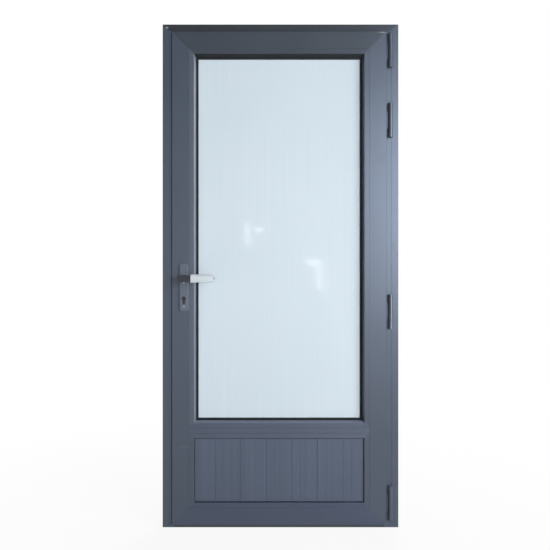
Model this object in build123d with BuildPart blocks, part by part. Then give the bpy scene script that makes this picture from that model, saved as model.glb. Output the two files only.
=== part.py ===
from build123d import *
import os

os.makedirs("parts", exist_ok=True)

# Shares and counts
half_share = 0.5

# Overall size of the door set: X across, Y through the wall, Z up
overall_width = 1008.0
overall_height = 2150.0

# Frame profiles: a hollow box with a stop lip behind the leaf
frame_depth = 57.0
frame_wall = 2.0
lock_jamb_width = 49.0
hinge_jamb_width = 60.0
head_height = 42.0
threshold_height = 21.0
stop_lip = 15.0
edge_break = 1.0
shadow_groove_share = 0.49
shadow_groove_width = 1.4
shadow_groove_depth = 1.0
threshold_rib = 9.0
threshold_rib_inset = 14.0

# Leaf profiles: a front flange over the frame, a hollow body and a rear glazing flange
leaf_depth = 57.0
leaf_proud = 7.0
leaf_overlap = 8.0
leaf_flange = 15.0
leaf_body = 57.0
glazing_flange = 22.0
leaf_wall = 2.0
joint_break = 0.7
mid_rail_body = 22.0
mid_rail_base = 404.0

# Glazing and beads
bead_wall = 1.5
glass_bead_bevel = 6.5
glass_bead_bevel_depth = 16.5
glass_bead_depth = 21.0
panel_bead_bevel = 2.0
panel_bead_depth = 6.5
glazing_edge_gap = 5.0
pane_thickness = 4.0
cavity_width = 16.0
spacer_width = 7.0
edge_seal_width = 4.0
glass_gasket_depth = 5.0
glass_gasket_lip = 10.0
glass_gasket_width = 16.0
rear_gasket_depth = 5.0
rear_gasket_start = 8.0
rear_gasket_lip = 4.0
block_length = 100.0
block_inset = 60.0

# Lower panel of tongue-and-groove boards
board_count = 7
board_thickness = 42.0
board_edge_gap = 3.0
board_wall = 1.5
board_groove = 0.7
board_tongue = 5.0
board_tongue_thickness = 6.0
board_tongue_play = 0.3
board_joint_play = 0.3
board_quirk_offset = 35.0
board_quirk_width = 1.2
board_quirk_depth = 0.7
panel_gasket_lip = 1.5

# Seals of the leaf
seal_play = 0.3
stop_gasket_start = 7.5
stop_gasket_width = 6.0
overlap_gasket_start = 2.0
overlap_gasket_width = 5.0
brush_carrier_width = 10.0
brush_carrier_height = 2.0
brush_width = 3.0

# Corner cleats and mid rail connectors
cleat_arm = 110.0
cleat_thickness = 13.0
cleat_play = 1.0
connector_length = 45.0
connector_play = 0.5

# Barrel hinges
hinge_bottom_height = 108.0
hinge_middle_height = 922.0
hinge_upper_drop = 411.0
hinge_top_drop = 114.0
hinge_axis_inset = 35.0
hinge_axis_standoff = 10.0
hinge_radius = 9.0
hinge_frame_knuckle = 36.0
hinge_leaf_knuckle = 72.0
hinge_washer = 1.0
hinge_washer_radius = 8.4
hinge_pin_radius = 4.0
hinge_fit = 0.05
hinge_arm_clear = 0.7
hinge_leg = 3.0
hinge_leg_reach = 36.0
hinge_leg_screw_spacing = 44.0
hinge_leg_screw_depth = 18.0
hinge_screw_spacing = 18.0
hinge_screw_reach = 5.5

# Screws
screw_head_radius = 4.2
screw_head_height = 2.4
screw_shank_radius = 2.1
screw_length = 14.0
screw_fit = 0.05
screw_recess_length = 4.4
screw_recess_width = 1.0
screw_recess_depth = 1.4
threshold_screw_length = 30.0

# Wall anchors through the jambs
anchor_first = 220.0
anchor_last_drop = 190.0
anchor_count = 4
anchor_radius = 4.0
anchor_access_radius = 8.0

# Lock
backset = 52.0
handle_height = 1064.0
key_distance = 85.0
faceplate_thickness = 3.0
faceplate_proud = 1.0
faceplate_width = 24.0
faceplate_drop = 164.0
faceplate_height = 240.0
faceplate_screw_inset = 9.0
faceplate_play = 0.2
case_depth = 16.0
case_wall = 1.5
case_inset = 3.0
case_clear = 1.0
follower_radius = 9.9
follower_fit = 0.1
follower_arm = 20.0
follower_arm_width = 5.0
follower_arm_depth = 6.0
follower_rest_angle = 17.5
latch_rise = 11.0
latch_height = 20.0
latch_depth = 12.0
latch_throw = 12.0
latch_nose = 3.0
latch_body_length = 21.0
latch_tail_rise = 11.0
latch_tail_depth = 4.0
latch_hook_offset = 2.0
latch_hook = 4.0
latch_hook_rise = 4.5
bolt_drop = 52.0
bolt_height = 20.0
bolt_depth = 10.0
bolt_length = 46.0
bolt_talon = 8.0
bolt_talon_length = 16.0
bolt_play = 0.4
strike_thickness = 2.0
strike_drop = 79.0
strike_height = 130.0
strike_width = 26.0
strike_play = 1.5
strike_screw_inset = 8.0

# Profile cylinder
cylinder_radius = 8.5
cylinder_web = 10.0
cylinder_height = 33.0
cylinder_proud = 2.0
cylinder_gap = 10.0
cylinder_cutout_play = 0.3
plug_radius = 6.5
plug_fit = 0.05
plug_proud = 0.6
keyway_width = 2.2
keyway_height = 8.0
keyway_depth = 14.0
cam_radius = 15.0
cam_width = 6.0
cam_play = 0.2
cam_sweep_play = 0.5
cylinder_screw_drop = 20.5
cylinder_screw_radius = 2.4
cylinder_screw_reach = 2.0

# Handle set
plate_width = 37.5
plate_drop = 141.0
plate_height = 204.0
plate_corner = 11.5
plate_thickness = 8.0
plate_wall = 2.0
plate_rounding = 2.2
plate_boss_radius = 5.4
plate_screw_inset = 21.0
plate_screw_drop = 20.0
plate_screw_length = 20.0
neck_radius = 11.0
neck_fit = 0.1
neck_start = 1.5
lever_standoff = 39.0
lever_depth = 13.0
lever_length = 133.0
lever_heel = 10.0
lever_root_radius = 13.5
lever_tip_radius = 9.0
lever_rounding = 2.5
sleeve_start = 34.0
sleeve_end = 131.0
sleeve_depth = 24.0
sleeve_root_height = 37.0
sleeve_end_height = 29.0
sleeve_rounding = 7.0
sleeve_rim_rounding = 1.6
sleeve_bore_height = 25.0
spindle_width = 8.0
spindle_fit = 0.05
spindle_hole_radius = 7.0
spindle_engage = 26.0

# One overrun for every through cut
overrun = 3.0

# Levels that follow from the sizes above
frame_left = -overall_width * half_share
frame_right = overall_width * half_share
frame_top = overall_height
leaf_front = -leaf_depth * half_share
leaf_back = leaf_depth * half_share
frame_front = leaf_front + leaf_proud
frame_back = frame_front + frame_depth
frame_middle = (frame_front + frame_back) * half_share
lock_wall = frame_left + lock_jamb_width
hinge_wall = frame_right - hinge_jamb_width
head_wall = frame_top - head_height
leaf_left = lock_wall - leaf_overlap
leaf_right = hinge_wall + leaf_overlap
leaf_top = head_wall + leaf_overlap
leaf_bottom = threshold_height - leaf_overlap
body_edge = leaf_flange + leaf_body
sight = body_edge + glazing_flange
mid_rail_top = mid_rail_base + mid_rail_body
leaf_edges = (leaf_left, leaf_right, leaf_bottom, leaf_top)
glass_edges = (leaf_left, leaf_right, mid_rail_top - body_edge, leaf_top)
panel_edges = (leaf_left, leaf_right, leaf_bottom, mid_rail_base + body_edge)
flange_back = leaf_front + leaf_wall
rear_flange_front = leaf_back - leaf_wall
glass_front = leaf_front + glass_bead_depth + glass_gasket_depth
cavity_front = glass_front + pane_thickness
cavity_back = cavity_front + cavity_width
glass_back = cavity_back + pane_thickness
glass_rim = body_edge + glazing_edge_gap
glass_bead_inner = sight + glass_bead_bevel
gasket_inner = glass_bead_inner + glass_gasket_lip
board_front = rear_flange_front - rear_gasket_depth - board_thickness
board_back = rear_flange_front - rear_gasket_depth
panel_bead_back = leaf_front + panel_bead_depth
hinge_x = frame_right - hinge_axis_inset
hinge_y = frame_front - hinge_axis_standoff
hinge_body_x = leaf_right - leaf_flange
hinge_heights = (hinge_bottom_height, hinge_middle_height,
                 frame_top - hinge_upper_drop, frame_top - hinge_top_drop)
anchor_pitch = (frame_top - anchor_first - anchor_last_drop) / (anchor_count - 1)
handle_x = leaf_left + backset
key_height = handle_height - key_distance
faceplate_base = handle_height - faceplate_drop
latch_base = handle_height + latch_rise
latch_tail_base = latch_base + latch_tail_rise
latch_hook_base = latch_base + latch_hook_rise
bolt_base = handle_height - bolt_drop
bolt_talon_base = bolt_base - bolt_talon_length
bolt_sizes = ((latch_base, latch_height, latch_depth), (bolt_base, bolt_height, bolt_depth))
strike_base = handle_height - strike_drop
cylinder_screw_height = key_height - cylinder_screw_drop
plate_base = handle_height - plate_drop
plate_screw_heights = (plate_base + plate_screw_inset, handle_height - plate_screw_drop)
lock_edge = leaf_left + leaf_flange
faceplate_front = lock_edge - faceplate_proud
faceplate_back = faceplate_front + faceplate_thickness
faceplate_top = faceplate_base + faceplate_height
case_right = leaf_left + body_edge - leaf_wall - case_clear
case_base = faceplate_base + case_inset
case_top = faceplate_top - case_inset
case_half = case_depth * half_share
web_radius = cylinder_web * half_share
web_low = key_height + cylinder_radius - cylinder_height + web_radius
plate_face = leaf_back + plate_thickness
cylinder_end = plate_face + cylinder_proud
lever_middle = plate_face + lever_standoff
latch_tip = faceplate_front - latch_throw
latch_hook_x = handle_x - latch_hook_offset


def slab(outline, y_one, y_two, mode=Mode.ADD):
    """Flat outline in X and Z, pushed through the depth between two Y levels."""
    with BuildSketch(Plane.XZ.offset(-max(y_one, y_two))) as face:
        Polygon(*outline)
    extrude(to_extrude=face.sketch, amount=abs(y_two - y_one), mode=mode)


def block(x_one, x_two, y_one, y_two, z_one, z_two, mode=Mode.ADD):
    """Square block between two levels on each axis."""
    slab([(x_one, z_one), (x_two, z_one), (x_two, z_two), (x_one, z_two)], y_one, y_two, mode)


def upright(section, hollows, z_one, z_two, mode=Mode.ADD):
    """Vertical profile from a section in X and Y."""
    with BuildSketch(Plane.XY.offset(z_one)) as cut:
        Polygon(*section)
        for hollow in hollows:
            Polygon(*hollow, mode=Mode.SUBTRACT)
    extrude(to_extrude=cut.sketch, amount=z_two - z_one, mode=mode)


def level(section, hollows, x_one, x_two, mode=Mode.ADD):
    """Level profile from a section in Y and Z."""
    with BuildSketch(Plane.YZ.offset(x_one)) as cut:
        Polygon(*section)
        for hollow in hollows:
            Polygon(*hollow, mode=Mode.SUBTRACT)
    extrude(to_extrude=cut.sketch, amount=x_two - x_one, mode=mode)


def rod(origin, direction, radius, length, mode=Mode.ADD):
    """Round bar or drilled hole from a point along a direction."""
    with BuildSketch(Plane(origin=origin, z_dir=direction)) as ring:
        Circle(radius)
    extrude(to_extrude=ring.sketch, amount=length, mode=mode)


def side_bar(side, edges, section, hollows, outer, inner):
    """One mitred side of a rectangular surround; the section runs inward from the outer edges."""
    left, right, bottom, top = edges
    if side == "left":
        upright([(left + s, y) for s, y in section],
                [[(left + s, y) for s, y in hollow] for hollow in hollows], bottom, top)
        trim = [(left + outer, bottom + outer), (left + inner, bottom + inner),
                (left + inner, top - inner), (left + outer, top - outer)]
    elif side == "right":
        upright([(right - s, y) for s, y in section],
                [[(right - s, y) for s, y in hollow] for hollow in hollows], bottom, top)
        trim = [(right - outer, bottom + outer), (right - inner, bottom + inner),
                (right - inner, top - inner), (right - outer, top - outer)]
    elif side == "top":
        level([(y, top - s) for s, y in section],
              [[(y, top - s) for s, y in hollow] for hollow in hollows], left, right)
        trim = [(left + outer, top - outer), (left + inner, top - inner),
                (right - inner, top - inner), (right - outer, top - outer)]
    else:
        level([(y, bottom + s) for s, y in section],
              [[(y, bottom + s) for s, y in hollow] for hollow in hollows], left, right)
        trim = [(left + outer, bottom + outer), (left + inner, bottom + inner),
                (right - inner, bottom + inner), (right - outer, bottom + outer)]
    slab(trim, leaf_front - overrun, leaf_back + overrun, Mode.INTERSECT)


def ring(edges, outer, inner, y_one, y_two):
    """Rectangular ring that runs round all four sides of an opening."""
    left, right, bottom, top = edges
    block(left + outer, right - outer, y_one, y_two, bottom + outer, top - outer)
    block(left + inner, right - inner, y_one - overrun, y_two + overrun,
          bottom + inner, top - inner, Mode.SUBTRACT)


def screw(origin, outward, shank, length, sunk, play=0.0, mode=Mode.ADD):
    """Round-bodied screw; its head is sunk below the origin or sits proud of it."""
    place = Plane(origin=origin, z_dir=outward)
    half = Plane(origin=origin, x_dir=place.x_dir, z_dir=place.x_dir.cross(place.z_dir))
    head = screw_head_radius + play
    body = shank + play
    if sunk:
        outline = [(0, 0), (head, 0), (body, -screw_head_height), (body, -length), (0, -length)]
    else:
        outline = [(0, screw_head_height), (head, screw_head_height), (head, 0), (body, 0),
                   (body, -length), (0, -length)]
    with BuildSketch(half) as shape:
        Polygon(*outline)
    revolve(profiles=shape.sketch, axis=Axis(place.origin, place.z_dir), mode=mode)


def cross_recess(origin, outward):
    """Cross-shaped driver recess in a screw head."""
    with BuildSketch(Plane(origin=origin, z_dir=outward)) as cross:
        Rectangle(screw_recess_length, screw_recess_width)
        Rectangle(screw_recess_width, screw_recess_length)
    extrude(to_extrude=cross.sketch, amount=-screw_recess_depth, mode=Mode.SUBTRACT)


def cleat(x, z, across, up, y_one, y_two):
    """L-shaped corner cleat lying along the outer walls of two mitred profiles."""
    slab([(x, z), (x + across * cleat_arm, z), (x + across * cleat_arm, z + up * cleat_thickness),
          (x + across * cleat_thickness, z + up * cleat_thickness),
          (x + across * cleat_thickness, z + up * cleat_arm), (x, z + up * cleat_arm)], y_one, y_two)


def frame_section(width):
    """Section of a frame profile and its chamber, inward from the outer edge."""
    groove = width * shadow_groove_share
    section = [(edge_break, frame_front), (groove, frame_front),
               (groove, frame_front + shadow_groove_depth),
               (groove + shadow_groove_width, frame_front + shadow_groove_depth),
               (groove + shadow_groove_width, frame_front), (width, frame_front),
               (width, frame_back - frame_wall), (width + stop_lip, frame_back - frame_wall),
               (width + stop_lip, frame_back), (0, frame_back), (0, frame_front + edge_break)]
    chamber = [(frame_wall, frame_front + frame_wall), (width - frame_wall, frame_front + frame_wall),
               (width - frame_wall, frame_back - frame_wall), (frame_wall, frame_back - frame_wall)]
    return section, chamber


def cylinder_shape(y_one, y_two, grow, mode=Mode.ADD):
    """Pear-shaped outline of the profile cylinder through a depth."""
    with BuildSketch(Plane.XZ.offset(-max(y_one, y_two))) as pear:
        with Locations((handle_x, key_height)):
            Circle(cylinder_radius + grow)
        with Locations((handle_x, web_low)):
            Circle(web_radius + grow)
        Polygon((handle_x - web_radius - grow, web_low), (handle_x + web_radius + grow, web_low),
                (handle_x + web_radius + grow, key_height), (handle_x - web_radius - grow, key_height))
    extrude(to_extrude=pear.sketch, amount=abs(y_two - y_one), mode=mode)


def anchor_holes(outer_x, direction):
    """Wall anchor holes in the outer wall, with access holes in the inner wall."""
    for index in range(anchor_count):
        height = anchor_first + index * anchor_pitch
        rod((outer_x, frame_middle, height), direction, anchor_radius, frame_wall + overrun, Mode.SUBTRACT)
        rod((outer_x + direction[0] * lock_jamb_width * half_share, frame_middle, height), direction,
            anchor_access_radius, hinge_jamb_width, Mode.SUBTRACT)


def threshold_screw_places():
    """Points where the threshold is screwed to both jambs."""
    mid_height = threshold_height * half_share
    for y in (frame_front + threshold_rib_inset, frame_back - threshold_rib_inset):
        yield (lock_wall - frame_wall, y, mid_height), (-1, 0, 0)
        yield (hinge_wall + frame_wall, y, mid_height), (1, 0, 0)


def hinge_screw_places():
    """Points on the inside of the frame wall where each frame knuckle is screwed on."""
    reach = (hinge_leaf_knuckle + hinge_frame_knuckle) * half_share + hinge_washer
    for height in hinge_heights:
        for end in (-reach, reach):
            for step in (-half_share, half_share):
                yield (hinge_x, frame_front + frame_wall, height + end + step * hinge_screw_spacing)


def leg_screw_places():
    """Points on the outer face of each hinge leg where it is screwed to the stile."""
    for height in hinge_heights:
        for step in (-half_share, half_share):
            yield (hinge_body_x + hinge_leg, flange_back + hinge_leg_screw_depth,
                   height + step * hinge_leg_screw_spacing)


def plate_screw_places(side):
    """Points on the face of a handle plate where its screws sit."""
    for height in plate_screw_heights:
        yield (handle_x, side * plate_face, height)


def faceplate_screw_places():
    """Points on the lock faceplate where its screws sit."""
    yield (faceplate_front, 0, faceplate_base + faceplate_screw_inset)
    yield (faceplate_front, 0, faceplate_top - faceplate_screw_inset)


def strike_screw_places():
    """Points on the strike plate where its screws sit."""
    yield (lock_wall + strike_thickness, 0, strike_base + strike_screw_inset)
    yield (lock_wall + strike_thickness, 0, strike_base + strike_height - strike_screw_inset)


def strike_openings(x_one, x_two):
    """Openings that take the latch and the deadbolt."""
    for base, height, depth in bolt_sizes:
        reach = depth * half_share + strike_play
        block(x_one, x_two, -reach, reach, base - strike_play, base + height + strike_play, Mode.SUBTRACT)


leaf_section = [(edge_break, leaf_front), (body_edge - joint_break, leaf_front),
                (body_edge, leaf_front + joint_break), (body_edge, rear_flange_front),
                (sight, rear_flange_front), (sight, leaf_back), (leaf_flange, leaf_back),
                (leaf_flange, flange_back), (0, flange_back), (0, leaf_front + edge_break)]
leaf_chamber = [(leaf_flange + leaf_wall, flange_back), (body_edge - leaf_wall, flange_back),
                (body_edge - leaf_wall, rear_flange_front), (leaf_flange + leaf_wall, rear_flange_front)]
bead_back = leaf_front + glass_bead_depth
bead_bevel_end = leaf_front + glass_bead_bevel_depth
glass_bead_section = [(body_edge, leaf_front + joint_break), (body_edge + joint_break, leaf_front),
                      (sight, leaf_front), (glass_bead_inner, bead_bevel_end),
                      (glass_bead_inner, bead_back), (body_edge, bead_back)]
bead_chamber_edge = body_edge + bead_wall
bead_chamber_front = leaf_front + bead_wall
glass_chamber_back = bead_back - bead_wall
glass_bead_hollow = [(bead_chamber_edge, bead_chamber_front), (sight - bead_wall, bead_chamber_front),
                     (glass_bead_inner - bead_wall, bead_bevel_end),
                     (glass_bead_inner - bead_wall, glass_chamber_back),
                     (bead_chamber_edge, glass_chamber_back)]
panel_bead_inner = sight + panel_bead_bevel
panel_bead_section = [(body_edge, leaf_front + joint_break), (body_edge + joint_break, leaf_front),
                      (sight, leaf_front), (panel_bead_inner, panel_bead_back),
                      (body_edge, panel_bead_back)]
panel_chamber_back = panel_bead_back - bead_wall
panel_bead_hollow = [(bead_chamber_edge, bead_chamber_front), (sight - bead_wall, bead_chamber_front),
                     (sight, panel_chamber_back), (bead_chamber_edge, panel_chamber_back)]
lock_section, lock_chamber = frame_section(lock_jamb_width)
hinge_section, hinge_chamber = frame_section(hinge_jamb_width)
head_section, head_chamber = frame_section(head_height)
lip_left = lock_wall + stop_lip
lip_right = hinge_wall - stop_lip
lip_top = head_wall - stop_lip

# Frame
with BuildPart() as frame_lock_jamb:
    upright([(frame_left + s, y) for s, y in lock_section],
            [[(frame_left + s, y) for s, y in lock_chamber]], 0, frame_top)
    slab([(frame_left, 0), (lip_left, 0), (lip_left, lip_top), (lock_wall, head_wall),
          (frame_left, frame_top)], frame_front - overrun, frame_back + overrun, Mode.INTERSECT)
    block(lock_wall, lip_left + overrun, frame_back - frame_wall, frame_back + overrun,
          -overrun, threshold_height, Mode.SUBTRACT)
    anchor_holes(frame_left, (1, 0, 0))
    strike_openings(lock_wall - frame_wall - overrun, lock_wall + overrun)
    for place in strike_screw_places():
        screw(place, (1, 0, 0), screw_shank_radius, screw_length, True, screw_fit, Mode.SUBTRACT)
    for place, outward in threshold_screw_places():
        screw(place, outward, screw_shank_radius, threshold_screw_length, False, screw_fit, Mode.SUBTRACT)

with BuildPart() as frame_hinge_jamb:
    upright([(frame_right - s, y) for s, y in hinge_section],
            [[(frame_right - s, y) for s, y in hinge_chamber]], 0, frame_top)
    slab([(frame_right, 0), (lip_right, 0), (lip_right, lip_top), (hinge_wall, head_wall),
          (frame_right, frame_top)], frame_front - overrun, frame_back + overrun, Mode.INTERSECT)
    block(lip_right - overrun, hinge_wall, frame_back - frame_wall, frame_back + overrun,
          -overrun, threshold_height, Mode.SUBTRACT)
    anchor_holes(frame_right, (-1, 0, 0))
    for place in hinge_screw_places():
        screw(place, (0, 1, 0), screw_shank_radius, frame_wall + overrun, False, screw_fit, Mode.SUBTRACT)
    for place, outward in threshold_screw_places():
        screw(place, outward, screw_shank_radius, threshold_screw_length, False, screw_fit, Mode.SUBTRACT)

with BuildPart() as frame_head:
    level([(y, frame_top - s) for s, y in head_section],
          [[(y, frame_top - s) for s, y in head_chamber]], frame_left, frame_right)
    slab([(frame_left, frame_top), (lock_wall, head_wall), (lip_left, lip_top), (lip_right, lip_top),
          (hinge_wall, head_wall), (frame_right, frame_top)],
         frame_front - overrun, frame_back + overrun, Mode.INTERSECT)

with BuildPart() as threshold:
    rib_half = threshold_rib * half_share
    rib_front = frame_front + threshold_rib_inset
    rib_back = frame_back - threshold_rib_inset
    low = frame_wall
    high = threshold_height - frame_wall
    level([(frame_front, 0), (frame_back, 0), (frame_back, threshold_height - edge_break),
           (frame_back - edge_break, threshold_height), (frame_front + edge_break, threshold_height),
           (frame_front, threshold_height - edge_break)],
          [[(one, low), (two, low), (two, high), (one, high)]
           for one, two in ((frame_front + frame_wall, rib_front - rib_half),
                            (rib_front + rib_half, rib_back - rib_half),
                            (rib_back + rib_half, frame_back - frame_wall))],
          lock_wall, hinge_wall)
    for place, outward in threshold_screw_places():
        screw(place, outward, screw_shank_radius, threshold_screw_length, False, screw_fit, Mode.SUBTRACT)

with BuildPart() as frame_corner_cleats:
    cleat_front = frame_front + frame_wall + cleat_play
    cleat_rear = frame_back - frame_wall - cleat_play
    cleat(frame_left + frame_wall, frame_top - frame_wall, 1, -1, cleat_front, cleat_rear)
    cleat(frame_right - frame_wall, frame_top - frame_wall, -1, -1, cleat_front, cleat_rear)

with BuildPart() as frame_stop_gasket:
    gasket_end = stop_gasket_start + stop_gasket_width
    gasket_near = leaf_back + seal_play
    gasket_far = frame_back - frame_wall
    block(lock_wall + stop_gasket_start, hinge_wall - stop_gasket_start, gasket_near, gasket_far,
          threshold_height, head_wall - stop_gasket_start)
    block(lock_wall + gasket_end, hinge_wall - gasket_end, gasket_near - overrun, gasket_far + overrun,
          threshold_height - overrun, head_wall - gasket_end, Mode.SUBTRACT)

with BuildPart() as strike_plate:
    strike_half = strike_width * half_share
    block(lock_wall, lock_wall + strike_thickness, -strike_half, strike_half,
          strike_base, strike_base + strike_height)
    strike_openings(lock_wall - overrun, lock_wall + strike_thickness + overrun)
    for place in strike_screw_places():
        screw(place, (1, 0, 0), screw_shank_radius, screw_length, True, screw_fit, Mode.SUBTRACT)

with BuildPart() as frame_screws:
    for place, outward in threshold_screw_places():
        screw(place, outward, screw_shank_radius, threshold_screw_length, False)
    for place in strike_screw_places():
        screw(place, (1, 0, 0), screw_shank_radius, screw_length, True)
        cross_recess(place, (1, 0, 0))

# Hinges
with BuildPart() as hinge_frame_knuckles:
    gap_half = hinge_leaf_knuckle * half_share + hinge_washer
    for height in hinge_heights:
        for base in (height - gap_half - hinge_frame_knuckle, height + gap_half):
            rod((hinge_x, hinge_y, base), (0, 0, 1), hinge_radius, hinge_frame_knuckle)
            block(hinge_x - hinge_radius, hinge_x + hinge_radius, hinge_y, frame_front,
                  base, base + hinge_frame_knuckle)
            rod((hinge_x, hinge_y, base), (0, 0, 1), hinge_pin_radius + hinge_fit,
                hinge_frame_knuckle, Mode.SUBTRACT)
    for place in hinge_screw_places():
        screw(place, (0, 1, 0), screw_shank_radius, frame_wall + hinge_screw_reach, False, screw_fit,
              Mode.SUBTRACT)

with BuildPart() as hinge_leaf_knuckles:
    knuckle_half = hinge_leaf_knuckle * half_share
    for height in hinge_heights:
        base = height - knuckle_half
        crown = height + knuckle_half
        rod((hinge_x, hinge_y, base), (0, 0, 1), hinge_radius, hinge_leaf_knuckle)
        block(hinge_body_x, hinge_x, flange_back, frame_front - hinge_arm_clear, base, crown)
        block(hinge_body_x, hinge_body_x + hinge_leg, flange_back, flange_back + hinge_leg_reach,
              base, crown)
        rod((hinge_x, hinge_y, base), (0, 0, 1), hinge_pin_radius + hinge_fit,
            hinge_leaf_knuckle, Mode.SUBTRACT)
    for place in leg_screw_places():
        screw(place, (1, 0, 0), screw_shank_radius, screw_length, True, screw_fit, Mode.SUBTRACT)

with BuildPart() as hinge_pins:
    pin_half = hinge_leaf_knuckle * half_share + hinge_washer + hinge_frame_knuckle
    for height in hinge_heights:
        rod((hinge_x, hinge_y, height - pin_half), (0, 0, 1), hinge_pin_radius, pin_half + pin_half)

with BuildPart() as hinge_washers:
    knuckle_end = hinge_leaf_knuckle * half_share
    for height in hinge_heights:
        for base in (height - knuckle_end - hinge_washer, height + knuckle_end):
            rod((hinge_x, hinge_y, base), (0, 0, 1), hinge_washer_radius, hinge_washer)
            rod((hinge_x, hinge_y, base), (0, 0, 1), hinge_pin_radius + hinge_fit,
                hinge_washer, Mode.SUBTRACT)

with BuildPart() as hinge_frame_screws:
    for place in hinge_screw_places():
        screw(place, (0, 1, 0), screw_shank_radius, frame_wall + hinge_screw_reach, False)

with BuildPart() as hinge_leaf_screws:
    for place in leg_screw_places():
        screw(place, (1, 0, 0), screw_shank_radius, screw_length, True)

# Leaf profiles
with BuildPart() as leaf_lock_stile:
    side_bar("left", leaf_edges, leaf_section, [leaf_chamber], 0, sight)
    reach = faceplate_width * half_share + faceplate_play
    block(lock_edge - overrun, lock_edge + leaf_wall, -reach, reach,
          faceplate_base - faceplate_play, faceplate_top + faceplate_play, Mode.SUBTRACT)
    rod((handle_x, leaf_back + overrun, handle_height), (0, -1, 0), spindle_hole_radius,
        leaf_depth + overrun + overrun, Mode.SUBTRACT)
    cylinder_shape(leaf_front - overrun, leaf_back + overrun, cylinder_cutout_play, Mode.SUBTRACT)
    for side in (-1, 1):
        for place in plate_screw_places(side):
            screw(place, (0, side, 0), screw_shank_radius, plate_screw_length, True, screw_fit,
                  Mode.SUBTRACT)

with BuildPart() as leaf_hinge_stile:
    side_bar("right", leaf_edges, leaf_section, [leaf_chamber], 0, sight)
    for place in leg_screw_places():
        screw(place, (1, 0, 0), screw_shank_radius, screw_length, True, screw_fit, Mode.SUBTRACT)

with BuildPart() as leaf_top_rail:
    side_bar("top", leaf_edges, leaf_section, [leaf_chamber], 0, sight)

with BuildPart() as leaf_bottom_rail:
    side_bar("bottom", leaf_edges, leaf_section, [leaf_chamber], 0, sight)

with BuildPart() as leaf_mid_rail:
    flange_low = mid_rail_base - glazing_flange
    flange_high = mid_rail_top + glazing_flange
    stile_left = leaf_left + body_edge
    stile_right = leaf_right - body_edge
    level([(leaf_front + joint_break, mid_rail_base), (leaf_front, mid_rail_base + joint_break),
           (leaf_front, mid_rail_top - joint_break), (leaf_front + joint_break, mid_rail_top),
           (rear_flange_front, mid_rail_top), (rear_flange_front, flange_high), (leaf_back, flange_high),
           (leaf_back, flange_low), (rear_flange_front, flange_low), (rear_flange_front, mid_rail_base)],
          [[(flange_back, mid_rail_base + leaf_wall), (rear_flange_front, mid_rail_base + leaf_wall),
            (rear_flange_front, mid_rail_top - leaf_wall), (flange_back, mid_rail_top - leaf_wall)]],
          stile_left, stile_right)
    for one, two in ((stile_left - overrun, leaf_left + sight),
                     (leaf_right - sight, stile_right + overrun)):
        block(one, two, rear_flange_front, leaf_back + overrun, flange_low - overrun, flange_high + overrun,
              Mode.SUBTRACT)

with BuildPart() as leaf_corner_cleats:
    wall_offset = leaf_flange + leaf_wall
    cleat_near = flange_back + cleat_play
    cleat_far = rear_flange_front - cleat_play
    for x, across in ((leaf_left + wall_offset, 1), (leaf_right - wall_offset, -1)):
        for z, up in ((leaf_bottom + wall_offset, 1), (leaf_top - wall_offset, -1)):
            cleat(x, z, across, up, cleat_near, cleat_far)
    for place in leg_screw_places():
        screw(place, (1, 0, 0), screw_shank_radius, screw_length, True, screw_fit, Mode.SUBTRACT)

with BuildPart() as mid_rail_connectors:
    rail_low = mid_rail_base + leaf_wall + connector_play
    rail_high = mid_rail_top - leaf_wall - connector_play
    rail_near = flange_back + connector_play
    rail_far = rear_flange_front - connector_play
    for one, two in ((leaf_left + body_edge, leaf_left + body_edge + connector_length),
                     (leaf_right - body_edge - connector_length, leaf_right - body_edge)):
        block(one, two, rail_near, rail_far, rail_low, rail_high)

with BuildPart() as leaf_overlap_gasket:
    ring(leaf_edges, overlap_gasket_start, overlap_gasket_start + overlap_gasket_width,
         flange_back, frame_front - seal_play)
    arm_half = hinge_leaf_knuckle * half_share + seal_play
    for height in hinge_heights:
        block(hinge_body_x, leaf_right + overrun, flange_back - overrun, frame_front + overrun,
              height - arm_half, height + arm_half, Mode.SUBTRACT)

with BuildPart() as bottom_brush_seal:
    brush_top = leaf_bottom + leaf_flange
    carrier_half = brush_carrier_width * half_share
    brush_half = brush_width * half_share
    block(leaf_left + leaf_flange, leaf_right - leaf_flange, -carrier_half, carrier_half,
          brush_top - brush_carrier_height, brush_top)
    block(leaf_left + leaf_flange, leaf_right - leaf_flange, -brush_half, brush_half,
          threshold_height + seal_play, brush_top - brush_carrier_height)

# Glazing
with BuildPart() as glass_bead_left:
    side_bar("left", glass_edges, glass_bead_section, [glass_bead_hollow], body_edge, glass_bead_inner)

with BuildPart() as glass_bead_right:
    side_bar("right", glass_edges, glass_bead_section, [glass_bead_hollow], body_edge, glass_bead_inner)

with BuildPart() as glass_bead_top:
    side_bar("top", glass_edges, glass_bead_section, [glass_bead_hollow], body_edge, glass_bead_inner)

with BuildPart() as glass_bead_bottom:
    side_bar("bottom", glass_edges, glass_bead_section, [glass_bead_hollow], body_edge, glass_bead_inner)

glass_left = leaf_left + glass_rim
glass_right = leaf_right - glass_rim
glass_low = mid_rail_top + glazing_edge_gap
glass_high = leaf_top - glass_rim

with BuildPart() as glass_pane_inside:
    block(glass_left, glass_right, glass_front, cavity_front, glass_low, glass_high)

with BuildPart() as glass_pane_outside:
    block(glass_left, glass_right, cavity_back, glass_back, glass_low, glass_high)

with BuildPart() as glass_spacer:
    ring(glass_edges, glass_rim + edge_seal_width, glass_rim + edge_seal_width + spacer_width,
         cavity_front, cavity_back)

with BuildPart() as glass_edge_seal:
    ring(glass_edges, glass_rim, glass_rim + edge_seal_width, cavity_front, cavity_back)

with BuildPart() as glass_gasket_inside:
    ring(glass_edges, gasket_inner - glass_gasket_width, gasket_inner, bead_back, glass_front)

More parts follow.
